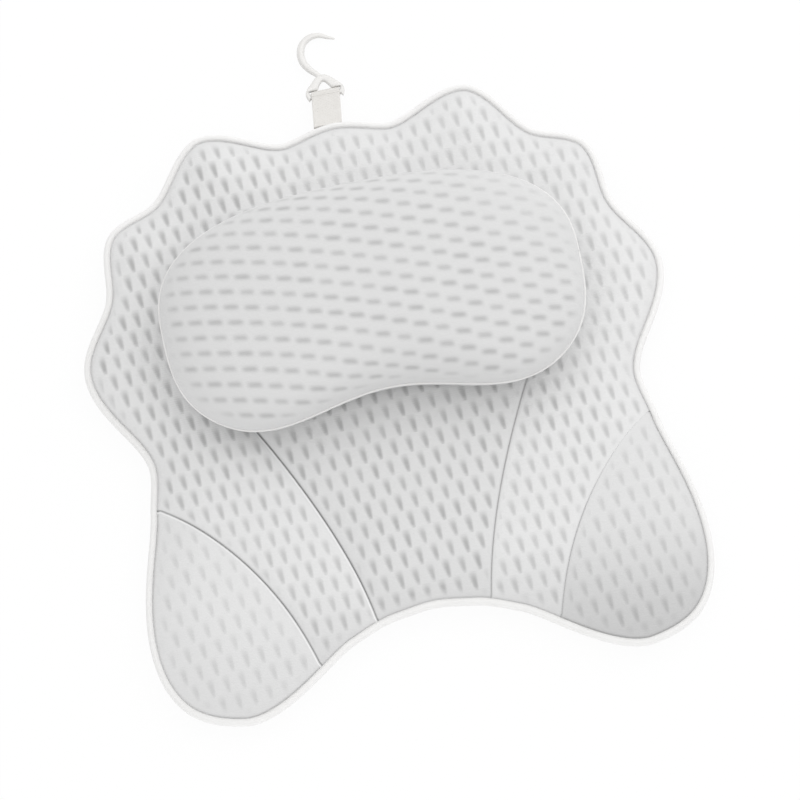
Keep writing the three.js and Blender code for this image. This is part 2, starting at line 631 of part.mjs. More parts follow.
function hangHook() {
  const eyeHalf = LOOP_WIDTH / 2 + EYE_SPARE;
  const eyeSide = foldOut + FIT_GAP;
  const eyePoint = eyeSide + EYE_TAPER;
  const neck = eyePoint + FRAME_WALL;
  const half = eyeHalf + FRAME_WALL;
  const halfIn = half - FRAME_CORNER;
  const outline = new THREE.Shape([flat(halfIn, -BAR / 2), flat(half, FRAME_CORNER - BAR / 2)]);
  outline.lineTo(half, eyeSide);
  outline.quadraticCurveTo(halfIn, eyeSide + FRAME_SWELL, HOOK_THICK / 2, neck);
  outline.lineTo(-HOOK_THICK / 2, neck);
  outline.quadraticCurveTo(-halfIn, eyeSide + FRAME_SWELL, -half, eyeSide);
  outline.lineTo(-half, FRAME_CORNER - BAR / 2);
  outline.lineTo(-halfIn, -BAR / 2);
  outline.holes.push(new THREE.Path([
    flat(-eyeHalf, BAR / 2), flat(-eyeHalf, eyeSide), flat(-EYE_OPEN, eyeSide), flat(0, eyePoint),
    flat(EYE_OPEN, eyeSide), flat(eyeHalf, eyeSide), flat(eyeHalf, BAR / 2)]));
  const frame = new THREE.ExtrudeGeometry(outline, {
    depth: BAR - 2 * FRAME_BEVEL, bevelThickness: FRAME_BEVEL, bevelSize: FRAME_BEVEL,
    bevelOffset: -FRAME_BEVEL, bevelSegments: 1, curveSegments: 5,
  }).translate(0, 0, FRAME_BEVEL - BAR / 2);

  const middle = flat(HOOK_ASIDE, HOOK_RISE);
  const round = (degrees) => flat(
    Math.cos(degToRad(degrees)), Math.sin(degToRad(degrees))).multiplyScalar(HOOK_RADIUS).add(middle);
  const path = new THREE.SplineCurve([
    flat(HOOK_LEAN, eyePoint), ...shares(HOOK_TURNS).map((s) => round(lerp(HOOK_FROM, HOOK_TO, s))),
    flat(HOOK_TIP_OUT, HOOK_TIP_UP).add(middle)]);
  const rings = shares(WIRE_RINGS).map((s) => {
    const [at, along] = [path.getPointAt(s), path.getTangentAt(s)];
    const radius = lerp(HOOK_THICK, HOOK_TIP, s ** 2) / 2;
    return shares(WIRE_SIDES).slice(1).map((turn) => {
      const [out, up] = [Math.cos(2 * Math.PI * turn) * radius, Math.sin(2 * Math.PI * turn) * radius];
      return new THREE.Vector3(at.x - along.y * out, at.y + along.x * out, up);
    });
  });
  const tip = path.getPointAt(1).add(path.getTangentAt(1).multiplyScalar(HOOK_TIP / 4));
  const wire = loft(rings, [lifted(path.getPointAt(0), 0), lifted(tip, 0)]);
  return toGeometry(toSolid(frame).add(toSolid(wire)));
}

const rootY = onEdge(0).y + FIT_GAP + WEBBING;
const rootZ = (tapeOut[0] + tapeOut[1]) / 2;
const loopGroup = new THREE.Group();
loopGroup.position.set(LOOP_X, rootY, rootZ);
loopGroup.rotation.x = -LOOP_DROOP;
part.add(loopGroup);
add('hang_loop', hangLoop(), webbing, loopGroup);

// the hook slopes on down until its round lies just clear of the floor
const barZ = rootZ - LOOP_LENGTH * Math.sin(LOOP_DROOP);
const hookDroop = Math.asin((barZ - HOOK_THICK / 2 - FIT_GAP) / (HOOK_RISE + HOOK_RADIUS));
const hookGroup = new THREE.Group();
hookGroup.position.set(LOOP_SKEW, LOOP_LENGTH, 0);
hookGroup.rotation.x = LOOP_DROOP - hookDroop;
loopGroup.add(hookGroup);
add('hang_hook', hangHook(), plastic, hookGroup);

// Origin: on the floor, under the middle of the whole pillow
const middle = new THREE.Box3().setFromObject(part, true).getCenter(new THREE.Vector3());
part.position.set(-middle.x, -middle.y, 0);

export default part;
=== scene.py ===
import json
import math

import bmesh
import bpy
import numpy as np
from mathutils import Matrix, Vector


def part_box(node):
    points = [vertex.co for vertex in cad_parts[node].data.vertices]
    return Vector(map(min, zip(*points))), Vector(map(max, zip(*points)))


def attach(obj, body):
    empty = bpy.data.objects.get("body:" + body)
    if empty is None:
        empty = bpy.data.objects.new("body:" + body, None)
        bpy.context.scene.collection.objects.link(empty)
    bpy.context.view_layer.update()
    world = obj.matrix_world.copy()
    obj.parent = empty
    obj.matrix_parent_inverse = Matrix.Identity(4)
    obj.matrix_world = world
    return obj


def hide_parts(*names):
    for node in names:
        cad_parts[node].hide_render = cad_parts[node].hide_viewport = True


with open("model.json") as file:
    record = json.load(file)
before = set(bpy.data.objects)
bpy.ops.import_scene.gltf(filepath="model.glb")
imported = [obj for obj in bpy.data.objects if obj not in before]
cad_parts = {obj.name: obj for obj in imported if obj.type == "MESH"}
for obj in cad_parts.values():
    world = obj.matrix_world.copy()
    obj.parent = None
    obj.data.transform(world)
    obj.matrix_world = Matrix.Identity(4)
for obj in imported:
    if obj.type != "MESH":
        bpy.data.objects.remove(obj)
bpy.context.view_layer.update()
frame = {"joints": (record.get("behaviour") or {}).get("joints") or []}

# Bath pillow. Shapes are worked out in millimetres in the frame's axes and put into meshes in metres:
# X to the right, Y to the hook, Z out of the panel's face.
mm = 0.001
weldWithin = 1e-7  # metres
scene = bpy.context.scene
jointPlaces = {joint["name"]: np.array(joint["pos_m"]) / mm for joint in frame["joints"]}


def cadLevels(node):  # lowest and highest Z of a node, in millimetres
    low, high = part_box(node)
    return low.z / mm, high.z / mm


loopRootAt = 193.5  # of the loop's root above the panel's own middle, in millimetres
panelMiddleY = jointPlaces["loop_fold"][1] - loopRootAt


# Shader maths

class Wire:  # a shader socket that Python's operators work on
    def __init__(self, finish, socket):
        self.finish = finish
        self.socket = socket

    def math(self, operation, first, second=0.0):
        return self.finish.node("Math", {"operation": operation}, {0: first, 1: second})

    def __add__(self, other):
        return self.math("ADD", self, other)

    def __sub__(self, other):
        return self.math("SUBTRACT", self, other)

    def __rsub__(self, other):
        return self.math("SUBTRACT", other, self)

    def __mul__(self, other):
        return self.math("MULTIPLY", self, other)

    def __truediv__(self, other):
        return self.math("DIVIDE", self, other)

    __radd__ = __add__
    __rmul__ = __mul__

    def sine(self):
        return self.math("SINE", self)

    def most(self, other):
        return self.math("MAXIMUM", self, other)

    def least(self, other):
        return self.math("MINIMUM", self, other)

    def rounded(self):
        return self.math("ROUND", self)

    def fraction(self):
        return self.math("FRACT", self)

    def rise(self, low, high):  # 0 below low, 1 above high, an S between
        settings = {"interpolation_type": "SMOOTHSTEP"}
        return self.finish.node("MapRange", settings, {0: self, 1: low, 2: high})

    def bell(self, width):  # 1 where the value is 0, and e^-1 a width away
        return self.math("EXPONENT", self * self * (-1 / width**2))


class Finish:  # a material and the one way its nodes are made
    def __init__(self, name):
        self.material = bpy.data.materials.new(name)
        self.material.use_nodes = True
        self.tree = self.material.node_tree
        self.tree.nodes.clear()

    def node(self, kind, settings, values, out=0):
        made = self.tree.nodes.new("ShaderNode" + kind)
        for key, value in settings.items():
            setattr(made, key, value)
        for key, value in values.items():
            if isinstance(value, Wire):
                self.tree.links.new(value.socket, made.inputs[key])
            else:
                made.inputs[key].default_value = value
        return Wire(self, made.outputs[out]) if made.outputs else None

    def place(self):
        return self.node("TexCoord", {}, {}, "Object")

    def axis(self, letter):
        return self.node("SeparateXYZ", {}, {0: self.place()}, letter)

    def attribute(self, name):
        return self.node("Attribute", {"attribute_name": name}, {}, "Fac")

    def noise(self, scale, detail=2.0):
        return self.node("TexNoise", {}, {"Vector": self.place(), "Scale": scale, "Detail": detail}, "Fac")

    def mix(self, factor, first, second):
        return self.node("Mix", {"data_type": "RGBA"}, {0: factor, 6: first, 7: second}, 2)

    def shaded(self, factor, look):  # from a look's light colour to its dark one
        return self.mix(factor, look["light"], look["dark"])

    def bump(self, height, distance):
        return self.node("Bump", {}, {"Height": height, "Distance": distance, "Strength": 1.0})

    def surface(self, values):
        shader = self.node("BsdfPrincipled", {}, values)
        self.node("OutputMaterial", {}, {"Surface": shader})
        return self


def grey(level, warmth=0.0):  # a near-white: warmth takes a little blue out
    return (level, level * (1 - warmth * 0.4), level * (1 - warmth), 1.0)


# Finishes

def onLattice(x, y, steps):  # how many of each step lead to a place: whole numbers on the lattice's points
    (ax, ay), (bx, by) = steps
    area = ax * by - ay * bx
    return (x * by - y * bx) / area, (y * ax - x * ay) / area


# Offset from the nearest point of a slanted lattice, and a scatter of that point's own
def nearestDimple(x, y, steps):
    (ax, ay), (bx, by) = steps
    a, b = onLattice(x, y, steps)
    countA, countB = a.rounded(), b.rounded()
    partA, partB = a - countA, b - countB
    scatter = ((countA * 12.99 + countB * 78.23).sine() * 437.58).fraction()
    return partA * ax + partB * bx, partA * ay + partB * by, scatter


# The leaf's sharp dark right side is painted shade on the hollow's wall that faces away from the light.
def leaf(x, y, look):  # upright leaf: straight right side, wide soft head, narrower towards its foot
    dx, dy, scatter = nearestDimple(x, y, look["steps"])
    along = dy / (scatter * 0.12 + 0.94) * (2 / look["long"])
    width = (along * 0.34 + 0.9).most(0.4).least(1.1) * look["wide"]
    across = (look["wide"] * 0.43 - dx) / width  # 0 on the right side, 1 on the left
    body = across.rise(-0.36, 0.36) * (1 - across.rise(0.52, 1.46))
    return body * along.rise(-1.5, -0.5) * (1 - along.rise(0.05, 1.4)) * (scatter * 0.3 + 0.85)


def dash(x, y, look):  # lying dash with blunt ends, along rows that bend by the square of x
    rows = y - x * look["slope"] + x * x * look["bow"]
    dx, dy, scatter = nearestDimple(x - look["start"][0], rows - look["start"][1], look["steps"])
    along = dx / (scatter * 0.14 + 0.93) * (2 / look["long"])
    beside = (dy - dx * (x * look["leanTurn"] + look["lean"])) * (2 / look["wide"])
    return (along * along).bell(0.78) * beside.bell(0.78) * (scatter * 0.3 + 0.85)


# Knitted mesh: sunk dimples, dark partly from the knit's own open weave and partly as painted shade, fine
# crossed stitches, painted shade along its tape and seams, and a painted highlight beside the left seams
def spacerMesh(name, look):
    finish = Finish(name)
    edge, seam, seamPullAndShade, lip = [finish.attribute(key) for key in ("edge", "seam", "seamPullAndShade", "lip")]
    if "run" in look:
        x, y = finish.attribute("run"), finish.attribute("drop")
    else:
        x, y = finish.axis("X") / mm - look["at"][0], finish.axis("Y") / mm - look["at"][1]
    press = edge.rise(*look["edgeFade"]) * seam.rise(*look["seamFade"]) * look["strength"]
    # Painted light: towards the upper right the dimples are paler as well as shallower.
    paledUpRight = (x + y).rise(*look["paledUpRightFrom"]) * look["paledUpRight"]
    eased = (y * -1).rise(*look["easedFrom"]) * look["eased"]
    press = press * (1 - paledUpRight) * (1 - eased)
    # Painted shade: the knit is darker towards the lower ends, where its roll turns away from the light.
    lowShade = (y * -1).rise(*look["lowShadeFrom"]) * look["lowShadeDepth"]
    # A dimple's dark is partly the knit's own open weave and partly painted shade in its hollow.
    dimple = look["shape"](x, y, look) * press
    # Painted shade: a dark line in the crease where the cover goes under the tape, and one along each seam
    # by that seam's strength.
    tapeCreaseShade = (edge - look["creaseAt"]).bell(look["creaseWide"]) * look["creaseShade"]
    creaseAndSeamShade = tapeCreaseShade.most(seam.bell(look["seamWide"]) * seamPullAndShade * look["seamShade"])
    cloud = finish.noise(look["cloudScale"])
    turn = 2 * math.pi / look["knit"]
    stitches = (x * turn + y * (turn / 2)).sine() * (x * turn - y * (turn / 2)).sine()
    yarn = finish.noise(look["yarnScale"], 3.0)
    clouds = (1 - cloud) * look["cloudShade"] + (1 - yarn) * look["yarnShade"]
    shade = dimple * look["dimpleTintAndShade"] + clouds + lowShade
    knit = finish.shaded((shade + creaseAndSeamShade).least(1.0), look)
    # Painted highlight: a pale line beside the left seams, where their edge faces the light.
    paintedHighlight = (seam - look["highlightAt"]).bell(look["highlightWide"]) * lip
    return finish.surface({
        "Base Color": finish.mix(paintedHighlight, knit, look["highlightColour"]),
        "Roughness": 0.82 + dimple * 0.12,
        "Sheen Weight": 0.12,
        "Sheen Roughness": 0.5,
        "Specular IOR Level": 0.25,
        "Normal": finish.bump((stitches * 0.5 + yarn) * look["knitDepth"] - dimple * look["deep"], mm),
    })


def bindingTape(look):  # smooth tape with fine ribs across its length, and painted shade darkening it towards its sewn lip
    finish = Finish("binding_tape")
    ribs = (finish.attribute("along") * (2 * math.pi / look["rib"])).sine()
    cloud = finish.noise(60.0, 3.0)
    return finish.surface({
        # Painted shade: lighter at the outer fold, darker in towards the crease at the sewn lip.
        "Base Color": finish.shaded((1 - cloud) * 0.3 + finish.attribute("fold") * 0.7, look),
        "Roughness": 0.6 + cloud * 0.15,
        "Sheen Weight": 0.1,
        "Specular IOR Level": 0.3,
        "Normal": finish.bump(ribs * 0.5 + cloud, 0.00008),
    })


def plainWeave(name, look):  # lining: threads over and under each other
    finish = Finish(name)
    turn = 2 * math.pi / (look["thread"] * mm)
    warp, weft = (finish.axis("X") * turn).sine(), (finish.axis("Y") * turn).sine()
    cloud = finish.noise(25.0, 3.0)
    weave = warp * weft
    return finish.surface({
        "Base Color": finish.shaded((1 - cloud) * 0.5 + weave * 0.1, look),
        "Roughness": 0.8 + weave * 0.06,
        "Specular IOR Level": 0.25,
        "Normal": finish.bump(weave, 0.0001),
    })


def ribbedWebbing(look):  # woven strap: slanted ribs along its length, from its own coordinates
    finish = Finish("webbing")
    along, across = finish.attribute("along"), finish.attribute("across")
    turn = 2 * math.pi / look["rib"]
    twill = ((along + across) * turn).sine() * ((across - along * 0.35) * turn).sine()
    cloud = finish.noise(120.0, 3.0)
    return finish.surface({
        "Base Color": finish.shaded((1 - cloud) * 0.55 + twill * 0.12, look),
        "Roughness": 0.8 + cloud * 0.1,
        "Sheen Weight": 0.1,
        "Specular IOR Level": 0.25,
        "Normal": finish.bump(twill + cloud * 0.5, 0.00012),
    })


def mouldedPlastic(name, look):  # moulded plastic: faint flow marks under a gloss
    finish = Finish(name)
    flow = finish.noise(look["flowScale"], 2.0)
    return finish.surface({
        "Base Color": finish.shaded((1 - flow) * 0.6, look),
        "Roughness": look["roughness"] + flow * 0.08,
        "Coat Weight": look["coat"],
        "Coat Roughness": 0.08,
        "Normal": finish.bump(flow, 0.00005),
    })


def softVinyl(look):  # milky see-through cup
    finish = Finish("cup_vinyl")
    cloud = finish.noise(90.0, 2.0)
    return finish.surface({
        "Base Color": finish.shaded((1 - cloud) * 0.5, look),
        "Roughness": look["roughness"] + cloud * 0.06,
        "IOR": 1.45,
        "Transmission Weight": look["clear"],
        "Normal": finish.bump(cloud, 0.00003),
    })


def openPadding(look):  # fibre filling
    finish = Finish("padding")
    fibre = finish.noise(260.0, 4.0)
    return finish.surface({
        "Base Color": finish.shaded((1 - fibre) * 0.8, look),
        "Roughness": 0.95,
        "Normal": finish.bump(fibre, 0.0004),
    })


knitLook = {
    "light": grey(0.755), "dark": grey(0.30),
    "dimpleTintAndShade": 0.56, "cloudScale": 18.0, "cloudShade": 0.04, "yarnScale": 1500.0, "yarnShade": 0.03,
    "knit": 1.5, "knitDepth": 0.10, "deep": 0.35, "strength": 1.0,
    "edgeFade": (5.0, 13.0), "seamFade": (0.8, 5.0),
    "creaseAt": 4.8, "creaseWide": 0.5, "creaseShade": 0.2, "seamWide": 0.7, "seamShade": 0.8,
    # painted highlight beside the left seams
    "highlightAt": 1.3, "highlightWide": 0.5, "highlightColour": grey(0.92),
    "paledUpRight": 0.0, "paledUpRightFrom": (80.0, 170.0),  # painted light: dimples paler and shallower towards the upper right
    "eased": 0.0, "easedFrom": (0.0, 80.0),  # and shallower below the middle
    "lowShadeDepth": 0.0, "lowShadeFrom": (105.0, 215.0),  # painted shade, darker towards the lower ends
}
panelKnit = {**knitLook, "shape": leaf, "long": 11.2, "wide": 3.8}
# One knit throughout: the covers' different light colours are painted light and shade, lighter on the fan,
# darker on the centre, the right leg and the bolster.
fanKnit = {**panelKnit, "light": grey(0.765), "dimpleTintAndShade": 0.54,
           "paledUpRight": 0.35, "eased": 0.3, "lowShadeDepth": 0.32,
           "at": (-1.8, panelMiddleY - 5.2), "steps": ((4.58, 12.95), (9.88, 0.09))}
centreKnit = {**panelKnit, "light": grey(0.715), "dimpleTintAndShade": 0.54, "lowShadeDepth": 0.24,
              "at": (-0.3, panelMiddleY - 0.2), "steps": ((5.06, 12.96), (10.76, 0.54))}
legKnit = {**panelKnit, "strength": 0.5, "edgeFade": (5.0, 15.0), "seamFade": (0.8, 7.0)}
rightLegKnit = {**legKnit, "light": grey(0.73), "lowShadeDepth": 0.4,
                "at": (-2.0, panelMiddleY + 1.9), "steps": ((5.8, 13.61), (10.54, 0.95))}
leftLegKnit = {**legKnit, "strength": 0.4, "lowShadeDepth": 0.12,
               "at": (1.6, panelMiddleY - 8.0), "steps": ((5.24, 13.34), (10.86, 0.77))}
bolsterKnit = {**knitLook, "light": grey(0.70), "shape": dash, "long": 11.2, "wide": 5.2,
               "lean": -0.23, "leanTurn": 0.0012,  # a dash's slope to its row, and what each mm of x adds
               "middle": (3.0, 60.0), "start": (-5.1, 0.8), "steps": ((13.7, -5.58), (1.04, -11.21)),
               "slope": 0.067, "bow": 0.00045, "run": True,
               "dimpleTintAndShade": 0.41, "paledUpRight": 0.45, "edgeFade": (0.0, 6.0), "creaseAt": -5.0}
wallKnit = {**bolsterKnit, "slope": 0.0, "bow": 0.0, "leanTurn": 0.0, "paledUpRight": 0.0, "edgeFade": (3.0, 12.0)}
knits = {"fan_knit": fanKnit, "centre_knit": centreKnit, "leg_knit_right": rightLegKnit,
         "leg_knit_left": leftLegKnit, "bolster_knit": bolsterKnit, "bolster_wall_knit": wallKnit}
finishes = {
    **{name: spacerMesh(name, look) for name, look in knits.items()},
    "binding_tape": bindingTape({"light": grey(0.94, 0.012), "dark": grey(0.74, 0.02), "rib": 0.8}),
    "lining": plainWeave("lining", {"light": grey(0.80), "dark": grey(0.70), "thread": 1.1}),
    "webbing": ribbedWebbing({"light": grey(0.81, 0.05), "dark": grey(0.72, 0.08), "rib": 1.7}),
    "hook_plastic": mouldedPlastic("hook_plastic", {
        "light": grey(0.79, 0.03), "dark": grey(0.72, 0.05),
        "roughness": 0.25, "coat": 0.35, "flowScale": 90.0}),
    "eyelet_plastic": mouldedPlastic("eyelet_plastic", {
        "light": grey(0.84, 0.02), "dark": grey(0.76, 0.03),
        "roughness": 0.4, "coat": 0.0, "flowScale": 140.0}),
    "cup_rubber": softVinyl({
        "light": (0.86, 0.90, 0.92, 1.0), "dark": (0.76, 0.82, 0.85, 1.0),
        "roughness": 0.14, "clear": 0.6}),
    "padding": openPadding({"light": grey(0.82, 0.02), "dark": grey(0.6, 0.03)}),
}
print("finishes made:", len(finishes))

# Meshes

def gridFaces(rows, cols, start=0, wrap=False):  # quads of a grid of points, row by row
    index = start + np.arange(rows * cols).reshape(rows, cols)
    if wrap:
        index = np.concatenate([index, index[:, :1]], axis=1)
    return np.stack([index[:-1, :-1], index[:-1, 1:], index[1:, 1:], index[1:, :-1]], -1).reshape(-1, 4)


# Points in millimetres and sets of faces as one welded mesh with its faces turned outwards
def makeMesh(name, points, faceSets, attributes=None):
    mesh = bpy.data.meshes.new(name)
    points = points.reshape(-1, 3)
    mesh.vertices.add(len(points))
    mesh.vertices.foreach_set("co", (points * mm).astype(np.float32).ravel())
    corners = np.concatenate([np.asarray(faces, np.int32).ravel() for faces in faceSets])
    sizes = np.concatenate([np.full(len(faces), len(faces[0])) for faces in faceSets])
    mesh.loops.add(len(corners))
    mesh.loops.foreach_set("vertex_index", corners)
    mesh.polygons.add(len(sizes))
    starts = np.concatenate([[0], np.cumsum(sizes)[:-1]])
    mesh.polygons.foreach_set("loop_start", starts.astype(np.int32))
    for key, values in (attributes or {}).items():
        mesh.attributes.new(key, "FLOAT", "POINT").data.foreach_set("value", values.astype(np.float32))
    mesh.update(calc_edges=True)
    work = bmesh.new()
    work.from_mesh(mesh)
    bmesh.ops.remove_doubles(work, verts=work.verts, dist=weldWithin)
    bmesh.ops.recalc_face_normals(work, faces=work.faces)
    work.to_mesh(mesh)
    work.free()
    mesh.polygons.foreach_set("use_smooth", np.ones(len(mesh.polygons), bool))
    return mesh


def makePiece(name, mesh, body, slot, nodes=(), finish=None):  # the finish is the slot's own unless named
    piece = bpy.data.objects.new(name, mesh)
    scene.collection.objects.link(piece)
    mesh.materials.clear()
    mesh.materials.append(finishes[finish or slot].material)
    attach(piece, body)
    if nodes:
        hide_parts(*nodes)
    return piece


def smooth(value, low, high):  # 0 below low, 1 above high, an S between
    share = np.clip((value - low) / (high - low), 0, 1)
    return share * share * (3 - 2 * share)


def lifted(plan, z):  # plan points with a height for each
    return np.concatenate([plan, z[..., None]], -1)


def lengthOf(vectors):  # root of the sum of squares
    return np.linalg.norm(vectors, axis=-1)


def unit(vectors):  # vectors over their lengths
    return vectors / np.maximum(lengthOf(vectors)[..., None], 1e-9)


def runAlong(line):  # length from the start of a line to each of its points
    return np.concatenate([[0], np.cumsum(lengthOf(np.diff(line, axis=0)))])


def spaced(line, count):  # the same line as points at equal steps along it
    run = runAlong(line)
    at = np.linspace(0, run[-1], count)
    return np.stack([np.interp(at, run, line[:, k]) for k in range(line.shape[1])], -1)


def curveThrough(points):  # Catmull-Rom curve through points, with as many steps from each to the next
    held = np.array([2 * points[0] - points[1], *points, 2 * points[-1] - points[-2]], float)
    t = np.linspace(0, 1, 24, endpoint=False)[:, None]
    a, b, c, d = held[:-3, None], held[1:-2, None], held[2:-1, None], held[3:, None]
    squared, cubed = 2 * a - 5 * b + 4 * c - d, 3 * b - a - 3 * c + d
    curve = 0.5 * (2 * b + (c - a) * t + squared * t**2 + cubed * t**3)
    return np.concatenate([curve.reshape(-1, held.shape[1]), held[-2:-1]])


def splineThrough(points, count):  # that curve as points at equal steps
    return spaced(curveThrough(points), count)


def allRound(count):  # angles at equal steps once round
    return np.linspace(0, 2 * np.pi, count, endpoint=False)


def squarish(turn, power):  # superellipse: cosine and sine to a power, with their signs kept
    return [np.sign(part) * np.abs(part) ** power for part in (np.cos(turn), np.sin(turn))]


def heading(line):  # unit vectors along a line
    return unit(np.gradient(line, axis=0))


def turnedRight(line):  # unit vectors square to a plan line, on its right-hand side
    along = heading(line)
    return np.stack([along[:, 1], -along[:, 0]], -1)


def mirrored(plan):  # x to -x
    return plan * np.array([-1.0, 1.0])


def distanceTo(plan, line):  # from each plan point to a line: square to it at its nearest vertex
    flat = plan.reshape(-1, 2)
    along = heading(line)
    step = lengthOf(np.diff(line, axis=0)).max() / 2
    near = np.concatenate([
        ((line**2).sum(1) - 2 * part @ line.T).argmin(1)
        for part in np.array_split(flat, max(1, len(flat) // 4000))])
    offset = flat - line[near]
    beside = offset[:, 0] * along[near, 1] - offset[:, 1] * along[near, 0]
    past = np.maximum(np.abs((offset * along[near]).sum(1)) - step, 0)
    return np.hypot(beside, past).reshape(plan.shape[:-1])


def resample(values, rowsAt, colsAt):  # cubic resample of a coarse grid at shares of its rows and columns
    def weights(count, at):
        spot = np.clip(at, 0, 1) * (count - 1)
        base = np.minimum(spot.astype(int), count - 2)
        t = spot - base
        parts = [-t + 2 * t**2 - t**3, 2 - 5 * t**2 + 3 * t**3, t + 4 * t**2 - 3 * t**3, t**3 - t**2]
        table = np.zeros((len(at), count))
        for step, part in enumerate(parts):
            np.add.at(table, (np.arange(len(at)), np.clip(base + step - 1, 0, count - 1)), part / 2)
        return table
    across, along = weights(values.shape[0], rowsAt), weights(values.shape[1], colsAt)
    return np.einsum("ri,ijk,cj->rck", across, values, along)


# Simulation: cloth under even pressure, held along its borders

def swell(name, grid, look):  # travel of each point, eased off to its limit by tanh
    rows, cols = grid.shape[:2]
    index = np.arange(rows * cols).reshape(rows, cols)
    held = np.unique(np.concatenate([index[0], index[-1], index[:, 0], index[:, -1]]))
    faces = gridFaces(rows, cols)
    if np.cross(np.gradient(grid, axis=1), np.gradient(grid, axis=0))[..., 2].mean() < 0:
        faces = faces[:, ::-1]  # the pressure pushes along the faces' normals
    mesh = bpy.data.meshes.new(name)
    mesh.from_pydata((grid.reshape(-1, 3) * mm).tolist(), [], faces.tolist())
    cloth = bpy.data.objects.new(name, mesh)
    scene.collection.objects.link(cloth)
    cloth.vertex_groups.new(name="held").add(held.tolist(), 1.0, "REPLACE")
    modifier = cloth.modifiers.new("cloth", "CLOTH")
    settings = modifier.settings
    settings.quality = 6
    settings.mass = 0.15
    settings.tension_stiffness = look["stiffness"]
    settings.compression_stiffness = look["stiffness"]
    settings.shear_stiffness = look["stiffness"] / 3
    settings.bending_stiffness = look["bending"]
    settings.vertex_group_mass = "held"
    settings.use_pressure = True
    settings.uniform_pressure_force = look["pressure"]
    settings.effector_weights.gravity = 0
    modifier.collision_settings.use_collision = False
    for step in range(1, look["frames"] + 1):
        scene.frame_set(step)
    moved = np.empty(rows * cols * 3, np.float32)
    cloth.evaluated_get(bpy.context.evaluated_depsgraph_get()).data.vertices.foreach_get("co", moved)
    bpy.data.objects.remove(cloth)
    scene.frame_set(1)
    travel = moved.reshape(grid.shape) / mm - grid
    far = lengthOf(travel)[..., None]
    print("swelled", name, "by up to", round(float(far.max()), 2), "mm, kept under", look["most"], "mm")
    return travel * look["most"] * np.tanh(far / look["most"]) / np.maximum(far, 1e-9)


# Wave of the knitted mesh

def knitWave(x, y, steps):  # product of two raised cosines that peaks on each point of a slanted lattice
    a, b = onLattice(x, y, steps)
    return (1 + np.cos(2 * np.pi * a)) * (1 + np.cos(2 * np.pi * b)) / 4


def upward(grid):  # normals of a grid, turned up: the cross product of its two directions
    normal = unit(np.cross(np.gradient(grid, axis=1), np.gradient(grid, axis=0)))
    return normal * np.where(normal[..., 2:] < 0, -1, 1)


# Panel: outline, seams and heights

panel = {
    "fanY": 20.4,  # fan centre above the panel's middle
    "edgeWave": [  # degrees from the hook, and the edge's distance from the fan centre
        (0, 171.6), (11.6, 168.2), (28.7, 203.1), (42.2, 192.8), (53.1, 207.3), (65.7, 193.5),
        (79.2, 203.1), (101.8, 174), (111.8, 189.1), (140.4, 273.7), (147.7, 265), (162.6, 193.2),
        (171, 175.9), (180, 170.3)],
    "innerFoot": 168, "outerFoot": 158.1, "outerNeck": 110.9,  # where the seams meet the edge, in degrees
    "innerBend": (52, -81.5), "outerBend": (106, -92.7), "seamTop": (104, 10.2), "topBow": 30.6,
    # The pulls also set the painted seam shade: stronger on the left, where the seams face away from the
    # light, and eased off above on the right outer seam.
    "seamPull": {"inner": (0.6, 1.0), "outer": (0.4, 0.9), "top": (0.5, 0.5)},  # on the right, on the left
    "seamGap": 0.02,  # from the seam line to each cover
    "easedBelow": (65.0, 115.0),  # the right outer seam draws in fully only this far below the middle
    "slackBelow": (95.0, 185.0), "slackBy": 26.0,  # the legs' lower ends fall away over a greater width
    # lip: strength of the painted highlight beside the left seams
    "lip": 0.8, "pressedFrom": (0.8, 1.0),  # the bolster holds the covers down, by its share
    "swellSeam": (0.0, 3.0), "swellEdge": 12.0, "waveSeam": (0.8, 6.0), "waveEdge": 8.0, "crowding": 0.35,
    "simStep": 8, "simRowsLeast": 14, "underRows": 9, "thinnest": 0.8,
    "valleyDeep": 3.2, "valleyWide": 2.4, "dishDeep": 1.2, "dishWide": 8.0,
    "tuckDeep": 0.4, "tuckAt": 4.7, "tuckWide": 0.9,  # where the cover goes under the tape
    "edgeInset": 3.0, "seamInset": 7.0, "flange": 4.6, "rollWidth": 34.0,
    "fullWidth": 32.0, "fullPower": 0.9, "rise": 11.0, "coreRise": 9.0, "padSetback": 2.0,
    "swell": {"stiffness": 15.0, "bending": 0.8, "pressure": 1.2, "frames": 20, "most": 2.6},
}
fanCentre = np.array([0.0, panel["fanY"]])
coverUnderEdge, coverTop = cadLevels("front_fan_cover")
coverTopEdge = coverTop - panel["rise"]
tapeLow, tapeHigh = cadLevels("edge_binding")
backHigh = cadLevels("back_cover")[1]
coreLow, coreHigh = cadLevels("panel_core")
edgeStep = 0.05  # degrees, for the edge's direction
panelMiddle = np.array([0.0, panelMiddleY, 0.0])


def edgeSlopes():  # level at crests and dips, elsewhere the harmonic mean of the slopes on both sides
    at, far = np.array(panel["edgeWave"], float).T
    rises = np.concatenate([[0], np.diff(far) / np.diff(at), [0]])
    before, after = rises[:-1], rises[1:]
    climbing = before * after > 0
    return np.where(climbing, 2 * before * after / np.where(climbing, before + after, 1), 0)


def onEdge(degrees):  # the edge's distance goes from landmark to landmark by a cubic with those slopes
    turn = (np.asarray(degrees, float) + 180) % 360 - 180
    at, far = np.array(panel["edgeWave"], float).T
    slopes = edgeSlopes()
    upper = np.clip(np.searchsorted(at, np.abs(turn)), 1, len(at) - 1)
    span = at[upper] - at[upper - 1]
    s = (np.abs(turn) - at[upper - 1]) / span
    bend = s * (1 - s) * span * (slopes[upper - 1] * (1 - s) - slopes[upper] * s)
    radius = far[upper - 1] + (far[upper] - far[upper - 1]) * s**2 * (3 - 2 * s) + bend
    ray = np.stack([np.sin(np.radians(turn)), np.cos(np.radians(turn))], -1)
    return fanCentre + ray * radius[..., None]


